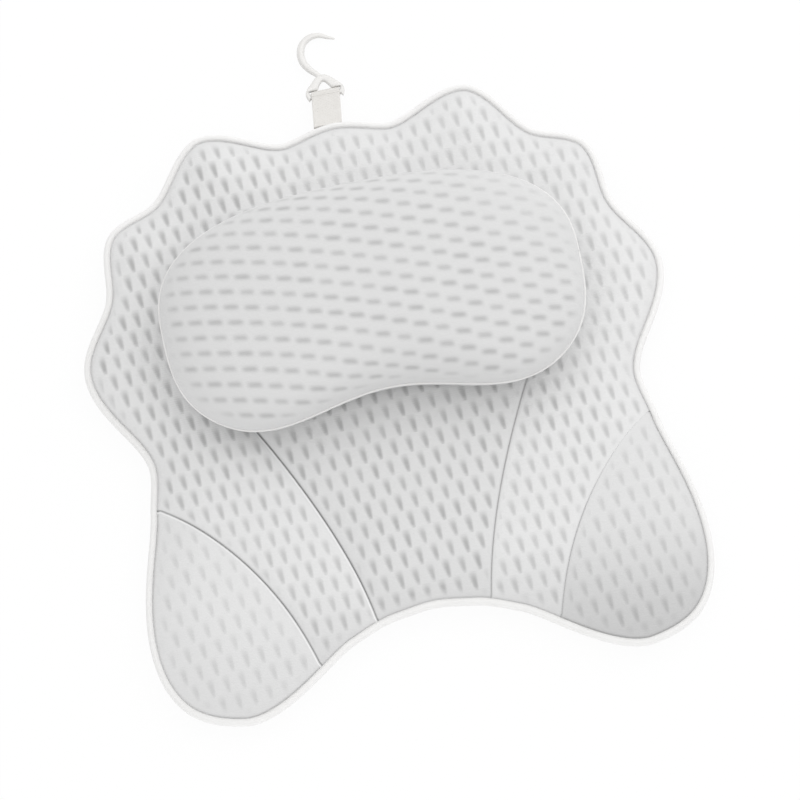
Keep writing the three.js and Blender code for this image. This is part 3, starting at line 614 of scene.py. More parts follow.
def edgePoint(degrees, inset):  # on the edge, then square to it towards the inside
    along = unit(onEdge(np.asarray(degrees) + edgeStep) - onEdge(np.asarray(degrees) - edgeStep))
    inward = np.stack([along[..., 1], -along[..., 0]], -1)
    return onEdge(degrees) + inward * np.asarray(inset)[..., None]


def evenAngles(start, end, count):  # degrees that divide a stretch of the edge evenly
    fine = np.linspace(start, end, 6000)
    run = runAlong(onEdge(fine))
    return np.interp(np.linspace(0, run[-1], count), run, fine)


def bent(start, towards, end):  # quadratic curve as even points
    t = np.linspace(0, 1, 300)[:, None]
    return spaced((1 - t) ** 2 * start + 2 * t * (1 - t) * np.array(towards) + t**2 * np.array(end), 240)


def seamLine(foot, towards, end, last=None):  # from under the binding, along the bend, on to the last point
    start = edgePoint(foot, panel["seamInset"])
    points = [edgePoint(foot, panel["edgeInset"])[None], bent(start, towards, end)]
    return spaced(np.concatenate(points + ([last[None]] if last is not None else [])), 240)


innerSeam = seamLine(panel["innerFoot"], panel["innerBend"], panel["seamTop"])
neckEnds = [edgePoint(panel["outerNeck"], panel[key]) for key in ("seamInset", "edgeInset")]
outerSeam = seamLine(panel["outerFoot"], panel["outerBend"], *neckEnds)
seamTop = np.array(panel["seamTop"])
topSeam = bent(seamTop, (0, seamTop[1] + 2 * panel["topBow"]), mirrored(seamTop))
edgeLine = onEdge(evenAngles(0, 360, 1600))


def rolled(edgeGap, setback=0.0):  # the edge rolls up by a quarter of a sine
    return np.sin(np.pi / 2 * np.clip((edgeGap - panel["flange"] - setback) / panel["rollWidth"], 0, 1))


def nearestSeam(plan):  # which seam is nearest, how far it is and how hard it draws the cover in, which also sets the seam's painted shade
    right = np.abs(plan * [1, 0]) + plan * [0, 1]
    gaps = np.stack([distanceTo(right, line) for line in (innerSeam, outerSeam, topSeam)])
    pulls = np.array([panel["seamPull"][key] for key in ("inner", "outer", "top")])
    nearest, isLeft = gaps.argmin(0), plan[..., 0] < 0
    eased = np.where((nearest == 1) & ~isLeft, smooth(-plan[..., 1], *panel["easedBelow"]), 1)
    return nearest, gaps.min(0), pulls[nearest, isLeft.astype(int)] * eased


def seamHighlight(plan, name):  # painted highlight: a pale lip beside the left seams, on the side that faces the light
    nearest, _, pull = nearestSeam(plan)
    highlighted = {"front_fan_knit": nearest == 0, "front_leg_knit_left": nearest == 1}.get(name, nearest < 0)
    return np.where(highlighted & (plan[..., 0] < 0), pull, 0) * panel["lip"]


def coverForm(plan):  # height of the cover's face: roll, less a narrow valley and a wide dish at each seam
    edgeGap, (_, seamGap, pull) = distanceTo(plan, edgeLine), nearestSeam(plan)
    width = panel["fullWidth"] + smooth(-plan[..., 1], *panel["slackBelow"]) * panel["slackBy"]
    full = np.clip((edgeGap - panel["flange"]) / width, 0, 1)
    roll = np.sin(np.pi / 2 * full) ** panel["fullPower"]
    valley = panel["valleyDeep"] * np.exp(-seamGap / panel["valleyWide"])
    dish = panel["dishDeep"] * np.exp(-((seamGap / panel["dishWide"]) ** 2))
    return coverTopEdge + (panel["rise"] - (valley + dish) * pull) * roll, edgeGap, seamGap, pull


def chain(*stretches):  # lines end to end, each with its share of the whole border
    keys, points, total = [], [], 0.0
    for line, share in stretches:
        even = spaced(line, 300)
        keys.append(np.linspace(total, total + share, len(even)))
        points.append(even)
        total += share
    return np.concatenate(keys) / total, np.concatenate(points)


def onChain(border, shares):  # points of a border at shares of it, straight between its own
    keys, points = border
    return np.stack([np.interp(shares, keys, points[:, k]) for k in (0, 1)], -1)


def coons(borders, u, v):  # blend of the long borders plus that of the short ones, less the corners
    low, high = onChain(borders["low"], u), onChain(borders["high"], u)
    left, right = onChain(borders["left"], v), onChain(borders["right"], v)
    us, vs = u[None, :, None], v[:, None, None]
    left = left + (1 - v)[:, None] * (low[0] - left[0]) + v[:, None] * (high[0] - left[-1])
    right = right + (1 - v)[:, None] * (low[-1] - right[0]) + v[:, None] * (high[-1] - right[-1])
    corners = (1 - vs) * ((1 - us) * low[0] + us * low[-1]) + vs * ((1 - us) * high[0] + us * high[-1])
    return (1 - vs) * low + vs * high + (1 - us) * left[:, None] + us * right[:, None] - corners


def beside(line, side):  # a seam line moved to the cover on its right (1) or left (-1)
    return line + turnedRight(line) * side * panel["seamGap"]


def crowded(count):  # shares from 0 to 1, drawn towards both ends by a sine
    t = np.linspace(0, 1, count)
    return t - panel["crowding"] * np.sin(2 * np.pi * t) / (2 * np.pi)


# Front covers

frontCovers = {
    "front_fan_knit": {
        "node": "front_fan_cover", "finish": "fan_knit", "rows": 94, "cols": 950, "wave": 0.45},
    "front_centre_knit": {
        "node": "front_centre_cover", "finish": "centre_knit", "rows": 150, "cols": 190, "wave": 0.45},
    "front_leg_knit_right": {
        "node": "front_leg_cover_right", "finish": "leg_knit_right", "rows": 100, "cols": 190, "wave": 0.2},
    "front_leg_knit_left": {
        "node": "front_leg_cover_left", "finish": "leg_knit_left", "rows": 100, "cols": 190, "wave": 0.2},
}


# A horseshoe from foot to foot: inner and top seams below it, outer seams and the edge above
def fanBorders():
    lower, upper = np.split(beside(innerSeam, 1), [int(len(innerSeam) * 0.55)])
    lower = np.concatenate([lower, upper[:1]])
    under, outside = beside(topSeam, 1), beside(outerSeam, -1)
    foot = edgePoint(np.linspace(panel["innerFoot"], panel["outerFoot"], 60), panel["edgeInset"])
    rim = edgePoint(evenAngles(panel["outerNeck"], -panel["outerNeck"], 1200), panel["edgeInset"])
    low = chain((lower, 8), (upper, 11), (under, 62),
                (mirrored(upper)[::-1], 11), (mirrored(lower)[::-1], 8))
    high = chain((outside, 8), (rim, 84), (mirrored(outside)[::-1], 8))
    return {"low": low, "high": high, "left": chain((foot, 1)), "right": chain((mirrored(foot), 1))}


def centreBorders():  # a tongue between the inner seams, from the notch to the top seam
    right = beside(innerSeam, -1)
    notch = edgePoint(np.linspace(360 - panel["innerFoot"], panel["innerFoot"], 120), panel["edgeInset"])
    return {"low": chain((mirrored(right), 1)), "high": chain((right, 1)),
            "left": chain((notch, 1)), "right": chain((beside(topSeam, -1)[::-1], 1))}


def legBorders(flip):  # between an outer seam and the edge, which meet at both ends
    seam = beside(outerSeam, 1)
    rim = edgePoint(evenAngles(panel["outerFoot"], panel["outerNeck"], 400), panel["edgeInset"])
    ends = [np.stack([seam[k], rim[k]]) for k in (0, -1)]
    lines = {"low": seam, "high": rim, "left": ends[0], "right": ends[1]}
    return {key: chain((mirrored(line) if flip else line, 1)) for key, line in lines.items()}


# The form over the borders plus the cloth's travel, less the knit's wave and the tuck along the normals
def frontCover(name, borders):
    look = frontCovers[name]
    knit = knits[look["finish"]]
    u, v = np.linspace(0, 1, look["cols"]), crowded(look["rows"])
    plan = coons(borders, u, v)
    z, edgeGap, seamGap, pull = coverForm(plan)
    face = lifted(plan, z)
    cols, rows = [look[key] // panel["simStep"] for key in ("cols", "rows")]
    coarsePlan = coons(borders, np.linspace(0, 1, cols), np.linspace(0, 1, max(panel["simRowsLeast"], rows)))
    coarse = lifted(coarsePlan, coverForm(coarsePlan)[0])
    travel = resample(swell(name, coarse, panel["swell"]), v, u)
    clear = smooth(bolsterShare(plan), *panel["pressedFrom"])  # nothing swells where the bolster presses
    free = clear * smooth(seamGap, *panel["swellSeam"])
    free = free * smooth(edgeGap, panel["edgeInset"], panel["swellEdge"])
    face = face + travel * free[..., None]
    spot = plan + panelMiddle[:2] - knit["at"]
    wave = look["wave"] * knitWave(spot[..., 0], spot[..., 1], knit["steps"])
    wave = wave * smooth(edgeGap, panel["flange"], panel["flange"] + panel["waveEdge"])
    wave = wave * smooth(seamGap, *panel["waveSeam"])
    tuck = panel["tuckDeep"] * np.exp(-(((edgeGap - panel["tuckAt"]) / panel["tuckWide"]) ** 2))
    face = face - upward(face) * (wave + tuck)[..., None]
    underV = np.linspace(0, 1, panel["underRows"])
    underPlan = coons(borders, u, underV)
    underZ = coverUnderEdge + panel["coreRise"] * rolled(distanceTo(underPlan, edgeLine))
    for k in (0, -1):
        underZ[k] = np.minimum(underZ[k], face[k, :, 2] - panel["thinnest"])
    under = lifted(underPlan, underZ)
    mesh = closedSheet(name, (face, v), (under, underV), {
        "edge": edgeGap, "seam": seamGap, "seamPullAndShade": pull, "lip": seamHighlight(plan, name)})
    piece = makePiece(name, mesh, "pillow", "spacer_mesh", [look["node"]], look["finish"])


def strip(fine, coarse, v, coarseV):  # triangles between two lines of points that run along the same border
    near = np.searchsorted((coarseV[1:] + coarseV[:-1]) / 2, (v[1:] + v[:-1]) / 2)
    past = np.searchsorted(near, np.arange(1, len(coarse)))
    return [np.stack([fine[:-1], fine[1:], coarse[near]], -1),
            np.stack([coarse[1:], coarse[:-1], fine[past]], -1)]


def closedSheet(name, above, beneath, attributes):  # a fine face, a coarse underside with as many columns
    (face, v), (under, underV) = above, beneath
    rows, cols = face.shape[:2]
    low = under.shape[0]
    start = rows * cols
    top = np.arange(start).reshape(rows, cols)
    below = start + np.arange(low * cols).reshape(low, cols)
    sides = ((top[k], below[k]) for k in (0, -1))
    walls = [np.stack([a[:-1], a[1:], b[1:], b[:-1]], -1) for a, b in sides]
    ends = [part for k in (0, -1) for part in strip(top[:, k], below[:, k], v, underV)]
    points = np.concatenate([face.reshape(-1, 3), under.reshape(-1, 3)]) + panelMiddle
    blank = np.zeros(low * cols)
    filled = {key: np.concatenate([values.ravel(), blank]) for key, values in attributes.items()}
    faces = [gridFaces(rows, cols), gridFaces(low, cols, start), *walls, *ends]
    return makeMesh(name, points, faces, filled)


# Bolster

bolster = {
    "y": 63.0, "half": 143.5, "upper": 77.0, "lower": 87.6, "waist": 22.4, "waistReach": 115.0,
    "foot": 0.79, "upperPower": 2.6, "lowerPower": 3.0, "domePower": 2.5, "cover": 3.0,
    "rows": 190, "cols": 330, "wallSteps": 36, "roundSteps": 720, "wave": 0.35, "edgeReach": 80.0,
    "swell": {"stiffness": 15.0, "bending": 0.8, "pressure": 1.5, "frames": 20, "most": 2.5},
    "simReach": 0.97, "simCols": 57, "simRows": 35,  # the cloth stops a little short of the seam
    "swellFade": 0.12, "waveFade": (0.8, 0.98), "innerRows": 15, "innerStep": 7,
    "wallWave": ((3.0, 10.0), (30.0, 40.0)), "wallReach": 45.0,  # down the base from the side seam
    "fillGap": 1.0, "fillRound": 160, "fillStep": 5, "fillRings": 12,
    "weltRadius": 0.9, "weltOut": 0.15, "weltRun": 720.0, "weltSides": 10, "shoulder": 0.75,
}
bolsterFoot, bolsterSeamLow = cadLevels("bolster_base_cover")
bolsterSeamHigh, bolsterCrown = cadLevels("bolster_top_cover")
bolsterRim = (bolsterSeamLow + bolsterSeamHigh) / 2


def kidneyEdges(x):  # upper and lower edge at each x: superellipses, the lower one with a cosine waist
    share = np.clip(np.abs(x) / bolster["half"], 0, 1)
    upper = bolster["upper"] * (1 - share ** bolster["upperPower"]) ** (1 / bolster["upperPower"])
    lower = waistedDepth(x) * (1 - share ** bolster["lowerPower"]) ** (1 / bolster["lowerPower"])
    return upper, -lower


def waistedDepth(x):  # the lower edge's depth, less a raised cosine in its middle
    waist = bolster["waist"] * (1 + np.cos(np.pi * np.clip(x / bolster["waistReach"], -1, 1))) / 2
    return bolster["lower"] - waist


def bolsterShare(plan):  # how far out a plan point lies: 1 on the kidney's edge, less inside it
    x, y = np.abs(plan[..., 0]), plan[..., 1] - bolster["y"]
    p, q = bolster["upperPower"], bolster["lowerPower"]
    upper = ((x / bolster["half"]) ** p + (np.maximum(y, 0) / bolster["upper"]) ** p) ** (1 / p)
    lower = np.maximum(x / bolster["half"], 0.02)
    for _ in range(12):  # the waist depends on the share itself
        depth = waistedDepth(x / lower)
        lower = np.maximum(((x / bolster["half"]) ** q + (np.maximum(-y, 0) / depth) ** q) ** (1 / q), 0.02)
    return np.where(y >= 0, upper, lower)


def bolsterDome(share, rise):  # height above the side seam: (1 - share^power)^(1 / power)
    power = bolster["domePower"]
    return rise * np.clip(1 - share**power, 0, 1) ** (1 / power)


def domeGrid(u, v, inset, seamZ, rise):  # grid between the two edges; its two ends are the kidney's tips
    x = (bolster["half"] - inset) * np.sin(np.pi / 2 * u)
    upper, lower = kidneyEdges(x * bolster["half"] / (bolster["half"] - inset))
    scale = 1 - inset / bolster["upper"]
    middle, half = (upper + lower) / 2 * scale, (upper - lower) / 2 * scale
    y = middle + half * np.sin(np.pi / 2 * v)[:, None]
    plan = np.stack([np.broadcast_to(x, y.shape), y + bolster["y"]], -1)
    outward = (plan - [0, bolster["y"]]) * bolster["half"] / (bolster["half"] - inset) + [0, bolster["y"]]
    share = np.clip(bolsterShare(outward), 0, 1)
    share[0], share[-1], share[:, 0], share[:, -1] = 1, 1, 1, 1
    return lifted(plan, seamZ + bolsterDome(share, rise)), share


def laidOut(plan, share, rise):  # plan places spread past the shoulder by what the chord down to them adds
    arm = plan - [0, bolster["y"]]
    past = np.maximum(share - bolster["shoulder"], 0) / np.maximum(share, 0.1)
    level = lengthOf(arm) * past
    shoulder = bolsterDome(np.full(1, bolster["shoulder"]), rise)
    fall = shoulder - bolsterDome(np.maximum(share, bolster["shoulder"]), rise)
    return plan + unit(arm + 1e-6) * (np.hypot(level, fall) - level)[..., None]


def bolsterTop():  # the dome plus the cloth's travel, less the knit's wave along the normals
    u, v = np.linspace(-1, 1, bolster["cols"]), np.linspace(-1, 1, bolster["rows"])
    rise = bolsterCrown - bolsterSeamHigh
    face, share = domeGrid(u, v, 0.0, bolsterSeamHigh, rise)
    reach = bolster["simReach"]
    coarseU, coarseV = [np.linspace(-reach, reach, bolster[key]) for key in ("simCols", "simRows")]
    coarse = domeGrid(coarseU, coarseV, 0.0, bolsterSeamHigh, rise)[0]
    swelled = swell("bolster_top", coarse, bolster["swell"])
    travel = resample(swelled, (v / reach + 1) / 2, (u / reach + 1) / 2)
    face = face + travel * smooth(1 - share, 0.0, bolster["swellFade"])[..., None]
    x, y = np.moveaxis(laidOut(face[..., :2], share, rise) - bolsterKnit["middle"], -1, 0)
    rows = y - bolsterKnit["slope"] * x + bolsterKnit["bow"] * x**2
    wave = knitWave(x - bolsterKnit["start"][0], rows - bolsterKnit["start"][1], bolsterKnit["steps"])
    wave = bolster["wave"] * wave * (1 - smooth(share, *bolster["waveFade"]))
    face = face - upward(face) * wave[..., None]
    innerV = np.linspace(-1, 1, bolster["innerRows"])
    inner = domeGrid(u, innerV, bolster["cover"], bolsterSeamHigh, rise - bolster["cover"])[0]
    far = np.full(share.shape, bolster["edgeReach"])
    mesh = closedSheet("bolster_top_knit", (face, v), (inner, innerV), {
        "edge": (1 - share) * bolster["edgeReach"], "seam": far, "run": x, "drop": y})
    piece = makePiece("bolster_top_knit", mesh, "pillow", "spacer_mesh", ["bolster_top_cover"],
                      "bolster_knit")


def kidneyLine(count):  # the kidney's edge as even points, round from the right-hand tip
    x = bolster["half"] * np.cos(np.linspace(0, np.pi, 4000))
    upper, lower = kidneyEdges(x)
    line = np.concatenate([np.stack([x, upper], -1), np.stack([x, lower], -1)[::-1][1:]])
    return spaced(line, count + 1)[:-1]


def ringAt(line, share, inset, z):  # the kidney drawn in towards its middle and lifted to a height
    tangent = np.roll(line, -1, axis=0) - np.roll(line, 1, axis=0)
    inward = unit(np.stack([-tangent[:, 1], tangent[:, 0]], -1))
    plan = (line + inward * inset) * share + [0, bolster["y"]]
    return lifted(plan, np.full(len(line), z))


def loft(rings):  # closed skin through rings, drawn to a point at the first and last
    stack = np.stack([np.repeat(rings[0].mean(0)[None], len(rings[0]), 0), *rings,
                      np.repeat(rings[-1].mean(0)[None], len(rings[0]), 0)])
    return stack, gridFaces(len(stack), stack.shape[1], wrap=True)


def wallRings(line, inset, seamZ, footZ):  # from the side seam in to the flat foot: a superellipse section
    t = np.linspace(0, np.pi / 2, bolster["wallSteps"])
    power = 2 / bolster["domePower"]
    shares = bolster["foot"] + (1 - bolster["foot"]) * np.cos(t) ** power
    heights = seamZ + (footZ - seamZ) * np.sin(t) ** power
    return [ringAt(line, share, inset, z) for share, z in zip(shares, heights)]


def bolsterBase():  # a skin from the foot up to the side seam and back inside, less the knit's wave
    line = kidneyLine(bolster["roundSteps"])
    outer = np.stack(wallRings(line, 0.0, bolsterSeamLow, bolsterFoot))
    around = lengthOf(np.diff(line, axis=0, append=line[:1])).sum()
    run = np.linspace(0, 1, len(line), endpoint=False) * around
    drop = np.cumsum(lengthOf(np.diff(outer, axis=0, prepend=outer[:1])), axis=0)
    starts, stops = bolster["wallWave"]
    fade = smooth(drop, *starts) * (1 - smooth(drop, *stops))
    centre = np.array([0, bolster["y"], bolsterRim])
    wave = bolster["wave"] * knitWave(np.broadcast_to(run, drop.shape), drop, bolsterKnit["steps"])
    outer = outer - unit(outer - centre) * (fade * wave)[..., None]
    inner = wallRings(line, bolster["cover"], bolsterSeamLow, bolsterFoot + bolster["cover"])
    points, faces = loft([*outer[::-1], *inner[::bolster["innerStep"]]])
    fallen = np.zeros(points.shape[:2])
    fallen[1:len(outer) + 1] = drop[::-1]
    runs, fallen = np.broadcast_to(run, fallen.shape).ravel(), fallen.ravel()
    mesh = makeMesh("bolster_base_knit", points + panelMiddle, [faces], {
        "run": runs, "drop": fallen, "edge": fallen, "seam": bolster["wallReach"] - fallen})
    piece = makePiece("bolster_base_knit", mesh, "pillow", "spacer_mesh", ["bolster_base_cover"],
                      "bolster_wall_knit")


def tubeRound(path, radius, sides):  # a circle carried along a closed path, on level and upright axes
    tangent = unit(np.roll(path, -1, axis=0) - np.roll(path, 1, axis=0))
    across = unit(np.cross(tangent, [0.0, 0.0, 1.0]))
    up = np.cross(across, tangent)
    turn = allRound(sides)[None, :, None]
    return path[:, None] + radius * (np.cos(turn) * across[:, None] + np.sin(turn) * up[:, None])


def bolsterWelt():  # the narrow ridge where the two bolster covers are sewn together
    line = kidneyLine(bolster["roundSteps"])
    path = ringAt(line, 1.0, -bolster["weltOut"], bolsterRim) + panelMiddle
    sides = bolster["weltSides"]
    rings = tubeRound(path, bolster["weltRadius"], sides)
    welt = np.concatenate([rings, rings[:1]])
    run = np.repeat(np.linspace(0, bolster["weltRun"], len(welt))[:, None], sides, 1)
    mesh = makeMesh("bolster_welt", welt, [gridFaces(len(welt), sides, wrap=True)], {
        "along": run.ravel(), "fold": np.full(run.size, 0.5)})
    makePiece("bolster_welt", mesh, "pillow", "binding_tape")


def bolsterFilling():  # the base's section below the side seam and the dome's above it, drawn in
    line = kidneyLine(bolster["fillRound"])
    wall = bolster["cover"] + bolster["fillGap"]
    under = wallRings(line, wall, bolsterRim, bolsterFoot + wall)[::bolster["fillStep"]]
    t = np.linspace(0, np.pi / 2, bolster["fillRings"])[1:-1]
    power = 2 / bolster["domePower"]
    rise = bolsterCrown - wall - bolsterRim
    shares, heights = np.cos(t) ** power, bolsterRim + rise * np.sin(t) ** power
    over = [ringAt(line, share, wall, height) for share, height in zip(shares, heights)]
    points, faces = loft([*under[::-1], *over])
    points[-1, :, 2] = bolsterRim + rise
    mesh = makeMesh("bolster_filling", points + panelMiddle, [faces])
    makePiece("bolster_filling", mesh, "pillow", "padding", ["bolster_core"])


frontCover("front_fan_knit", fanBorders())
frontCover("front_centre_knit", centreBorders())
frontCover("front_leg_knit_right", legBorders(False))
frontCover("front_leg_knit_left", legBorders(True))
print("front covers made")
bolsterTop()
bolsterBase()
bolsterWelt()
bolsterFilling()
print("bolster made")

# Edge binding

binding = {"crest": 2.5, "squareness": 2.6, "turnIn": 50.0, "inside": 15.0, "thick": 1.0,
           "arcSteps": 34, "steps": 1000, "pucker": 0.12, "puckerEvery": (7.3, 31.0),
           "stitch": 2.6, "stitchPitch": 3.4, "thread": 0.2, "stitchInset": 3.4, "stitchShadeShare": 0.6}
tapeMiddle, tapeHalf = (tapeLow + tapeHigh) / 2, (tapeHigh - tapeLow) / 2


# Closed section of the folded tape: a superellipse past its crest on both faces, and one drawn in
def tapeSection():
    power = 2 / binding["squareness"]

    def shell(less, past):
        turn = np.radians(np.linspace(90 + past, -90 - past, binding["arcSteps"]))
        out, up = squarish(turn, power)
        inset = binding["crest"] - (binding["crest"] - less) * out
        return np.stack([inset, tapeMiddle + (tapeHalf - less) * up], -1)
    return np.concatenate([shell(0.0, binding["turnIn"]), shell(binding["thick"], binding["inside"])[::-1]])


def edgeBinding():  # the section carried round the edge, with a ripple from the product of two sines
    angles = evenAngles(0, 360, binding["steps"] + 1)
    section = tapeSection()
    plan = edgePoint(angles[:, None], section[None, :, 0])
    run = np.linspace(0, edgeLength, len(angles))
    short, long = binding["puckerEvery"]
    ripple = binding["pucker"] * np.sin(2 * np.pi * run / short) * np.sin(2 * np.pi * run / long)
    share, face = section[:, 0] / binding["crest"] / 2, np.sign(section[:, 1] - tapeMiddle)
    z = section[:, 1] + ripple[:, None] * share * face
    points = lifted(plan, z) + panelMiddle
    along = np.repeat(run[:, None], len(section), 1)
    fold = np.repeat(share[None], len(angles), 0)
    mesh = makeMesh("binding_tape", points, [gridFaces(*points.shape[:2], wrap=True)], {
        "along": along.ravel(), "fold": fold.ravel()})
    makePiece("binding_tape", mesh, "pillow", "binding_tape", ["edge_binding"])


# A row of small spindles of thread: radius times the root of 1 - t^2
def stitchRow(places, along, up, length, radius):
    t = np.array([-1.0, -0.75, 0.0, 0.75, 1.0])
    turn = allRound(6)
    across = np.cross(up, along)
    ring = np.sqrt(np.maximum(1 - t**2, 0))[:, None] * radius
    local = (along[:, None, None] * (t * length / 2)[None, :, None, None]
             + across[:, None, None] * (ring * np.cos(turn))[None, ..., None]
             + up[:, None, None] * (ring * np.sin(turn))[None, ..., None])
    points = places[:, None, None] + local
    each = gridFaces(len(t), len(turn), wrap=True)
    starts = np.arange(len(places)) * len(t) * len(turn)
    faces = (each[None] + starts[:, None, None]).reshape(-1, 4)
    return points.reshape(-1, 3), faces


def joined(rows):  # rows with the same number of stitches as one set of points and faces
    points = np.concatenate([points for points, _ in rows])
    faces = np.concatenate([faces + k * len(rows[0][0]) for k, (_, faces) in enumerate(rows)])
    return points, faces


def tapeHeight(inset):  # half height of the tape's outside at an inset
    power = binding["squareness"]
    return tapeHalf * (1 - abs(1 - inset / binding["crest"]) ** power) ** (1 / power)


def bindingStitches():  # a row round the edge on each face of the tape
    count = int(edgeLength / binding["stitchPitch"])
    angles = evenAngles(0, 360, count + 1)[:-1]
    turns = (-edgeStep, 0.0, edgeStep)
    behind, plan, ahead = [edgePoint(angles + turn, binding["stitchInset"]) for turn in turns]
    along = lifted(unit(ahead - behind), np.zeros(count))
    lift = tapeHeight(binding["stitchInset"])
    rows = []
    for side in (1, -1):
        places = lifted(plan, np.full(count, tapeMiddle + side * lift)) + panelMiddle
        up = np.tile([0.0, 0.0, side], (count, 1))
        rows.append(stitchRow(places, along, up, binding["stitch"], binding["thread"]))
    points, faces = joined(rows)
    # the stitches take about the tape's painted shade where they lie
    mesh = makeMesh("binding_stitches", points, [faces], {
        "along": points[:, 0], "fold": np.full(len(points), binding["stitchShadeShare"])})
    makePiece("binding_stitches", mesh, "pillow", "binding_tape")


edgeLength = lengthOf(np.diff(edgeLine, axis=0)).sum()
edgeBinding()
bindingStitches()
print("binding made,", round(edgeLength), "mm round")

# Back lining and panel padding

cupPlaces = {name[4:-5]: place for name, place in jointPlaces.items() if name.startswith("cup_")}
lining = {"rings": 70, "steps": 500, "hole": 7.0, "thick": 1.2,
          "pleats": 11, "pucker": 0.35, "puckerReach": 9.0, "puckerFrom": 11.0, "puckerRise": 5.0}
padding = {"rings": 26, "steps": 300, "pocket": 12.0, "pocketTop": 20.5, "clear": 0.3, "inset": 1.0}


def polarPlan(rings, steps, inset):  # the panel's outline drawn in towards the fan centre
    rim = edgePoint(evenAngles(0, 360, steps + 1)[:-1], inset)
    shares = np.linspace(0, 1, rings)[:, None, None]
    return fanCentre + shares * (rim - fanCentre)


def backLining():  # level, with pleats round each cup that die away outwards, and holes for the eyelets
    plan = polarPlan(lining["rings"], lining["steps"], panel["edgeInset"])
    z = np.full(plan.shape[:2], backHigh)
    hole = np.zeros(plan.shape[:2], bool)
    for place in cupPlaces.values():
        offset = plan - (place - panelMiddle)[:2]
        far = lengthOf(offset)
        pleats = np.cos(lining["pleats"] * np.arctan2(offset[..., 1], offset[..., 0]))
        past = np.maximum(far - lining["puckerFrom"], 0)
        fade = np.exp(-past / lining["puckerReach"]) * smooth(past, 0, lining["puckerRise"])
        z = z - lining["pucker"] * pleats * fade
        hole |= far < lining["hole"]
    points = lifted(plan, z).reshape(-1, 3) + panelMiddle
    faces = gridFaces(*plan.shape[:2], wrap=True)
    faces = faces[~hole.ravel()[faces].any(1)]
    used, packed = np.unique(faces, return_inverse=True)
    mesh = makeMesh("back_lining", points[used], [packed.reshape(-1, 4)])
    piece = makePiece("back_lining", mesh, "pillow", "lining", ["back_cover"])
    wall = piece.modifiers.new("thickness", "SOLIDIFY")
    wall.thickness = lining["thick"] * mm
    wall.offset = -1.0 if mesh.polygons[0].normal.z > 0 else 1.0


def panelPadding():  # flat below with a pocket over each cup, rolled above as the covers' undersides are
    plan = polarPlan(padding["rings"], padding["steps"], panel["edgeInset"] + padding["inset"])
    edgeGap = distanceTo(plan, edgeLine)
    roll = panel["coreRise"] * rolled(edgeGap, panel["padSetback"])
    top = coreHigh - panel["coreRise"] + roll - padding["clear"]
    below = np.full(plan.shape[:2], coreLow)
    for place in cupPlaces.values():
        far = lengthOf(plan - (place - panelMiddle)[:2])
        below = np.where(far < padding["pocket"], padding["pocketTop"], below)
    points = np.concatenate([lifted(plan, top), lifted(plan, below)[::-1]])
    faces = gridFaces(*points.shape[:2], wrap=True)
    mesh = makeMesh("panel_padding", points + panelMiddle, [faces])
    makePiece("panel_padding", mesh, "pillow", "padding", ["panel_core"])


backLining()
panelPadding()
print("back and padding made")

# Suction cups and eyelets

cup = {"radius": 25.0, "lip": 2.2, "rim": 0.8, "hollow": 3.6, "bell": 8.0, "hub": 8.0, "hubTop": 11.7,
       "neck": 4.0, "headLow": 15.5, "head": 6.6, "headTop": 19.5, "sides": 96, "fillet": 0.6}
eyelet = {"bore": 4.45, "neck": 6.05, "radius": 9.05, "low": 12.0, "high": 15.2, "plate": 0.7,
          "sides": 96, "fillet": 0.25}


cornerSteps = 5  # points on each filleted corner


def filleted(profile, radius):  # each corner of a profile becomes a small quadratic curve
    profile = np.array(profile, float)
    before, after = np.roll(profile, 1, axis=0), np.roll(profile, -1, axis=0)
    toBefore, toAfter = before - profile, after - profile
    cut = np.minimum(radius, 0.45 * np.minimum(lengthOf(toBefore), lengthOf(toAfter)))[:, None]
    start, end = profile + unit(toBefore) * cut, profile + unit(toAfter) * cut
    t = np.linspace(0, 1, cornerSteps)[None, :, None]
    curve = (1 - t) ** 2 * start[:, None] + 2 * t * (1 - t) * profile[:, None] + t**2 * end[:, None]
    return curve.reshape(-1, 2)


def lathe(profile, sides, place):  # a profile of radius and height turned about an upright axis
    turn = allRound(sides)
    points = np.stack([profile[:, :1] * np.cos(turn), profile[:, :1] * np.sin(turn),
                       np.repeat(profile[:, 1:], sides, 1)], -1)
    return points + np.array([place[0], place[1], 0.0]), gridFaces(len(profile), sides, wrap=True)


def cupProfile():  # hollow by a parabola, bell by a quarter sine with a thin lip, then hub, neck and head
    inside = cup["radius"] - cup["lip"]
    s = np.linspace(0, 1, 14)
    hollow = np.stack([inside * s, cup["hollow"] * (1 - s**2)], -1)
    bell = np.stack([cup["radius"] + (cup["hub"] - cup["radius"]) * s,
                     cup["rim"] + (cup["bell"] - cup["rim"]) * np.sin(s * np.pi / 2)], -1)
    post = filleted([
        (cup["hub"], cup["bell"]), (cup["hub"], cup["hubTop"]), (cup["neck"], cup["hubTop"]),
        (cup["neck"], cup["headLow"]), (cup["head"], cup["headLow"]),
        (cup["head"], (cup["headLow"] + cup["headTop"]) / 2), (cup["neck"], cup["headTop"]),
        (0.0, cup["headTop"])], cup["fillet"])[cornerSteps:-cornerSteps]
    rim = np.array([[cup["radius"] - 0.5, 0.0], [cup["radius"] - 0.1, 0.15]])
    return np.concatenate([hollow, rim, bell, post, [[0.0, cup["headTop"]]]])


def eyeletProfile():  # two flat rings on a short tube, with small curves at the corners
    e = eyelet
    return filleted([
        (e["bore"], e["low"]), (e["radius"], e["low"]), (e["radius"], e["low"] + e["plate"]),
        (e["neck"], e["low"] + e["plate"]), (e["neck"], e["high"] - e["plate"]),
        (e["radius"], e["high"] - e["plate"]), (e["radius"], e["high"]), (e["bore"], e["high"])],
        e["fillet"])


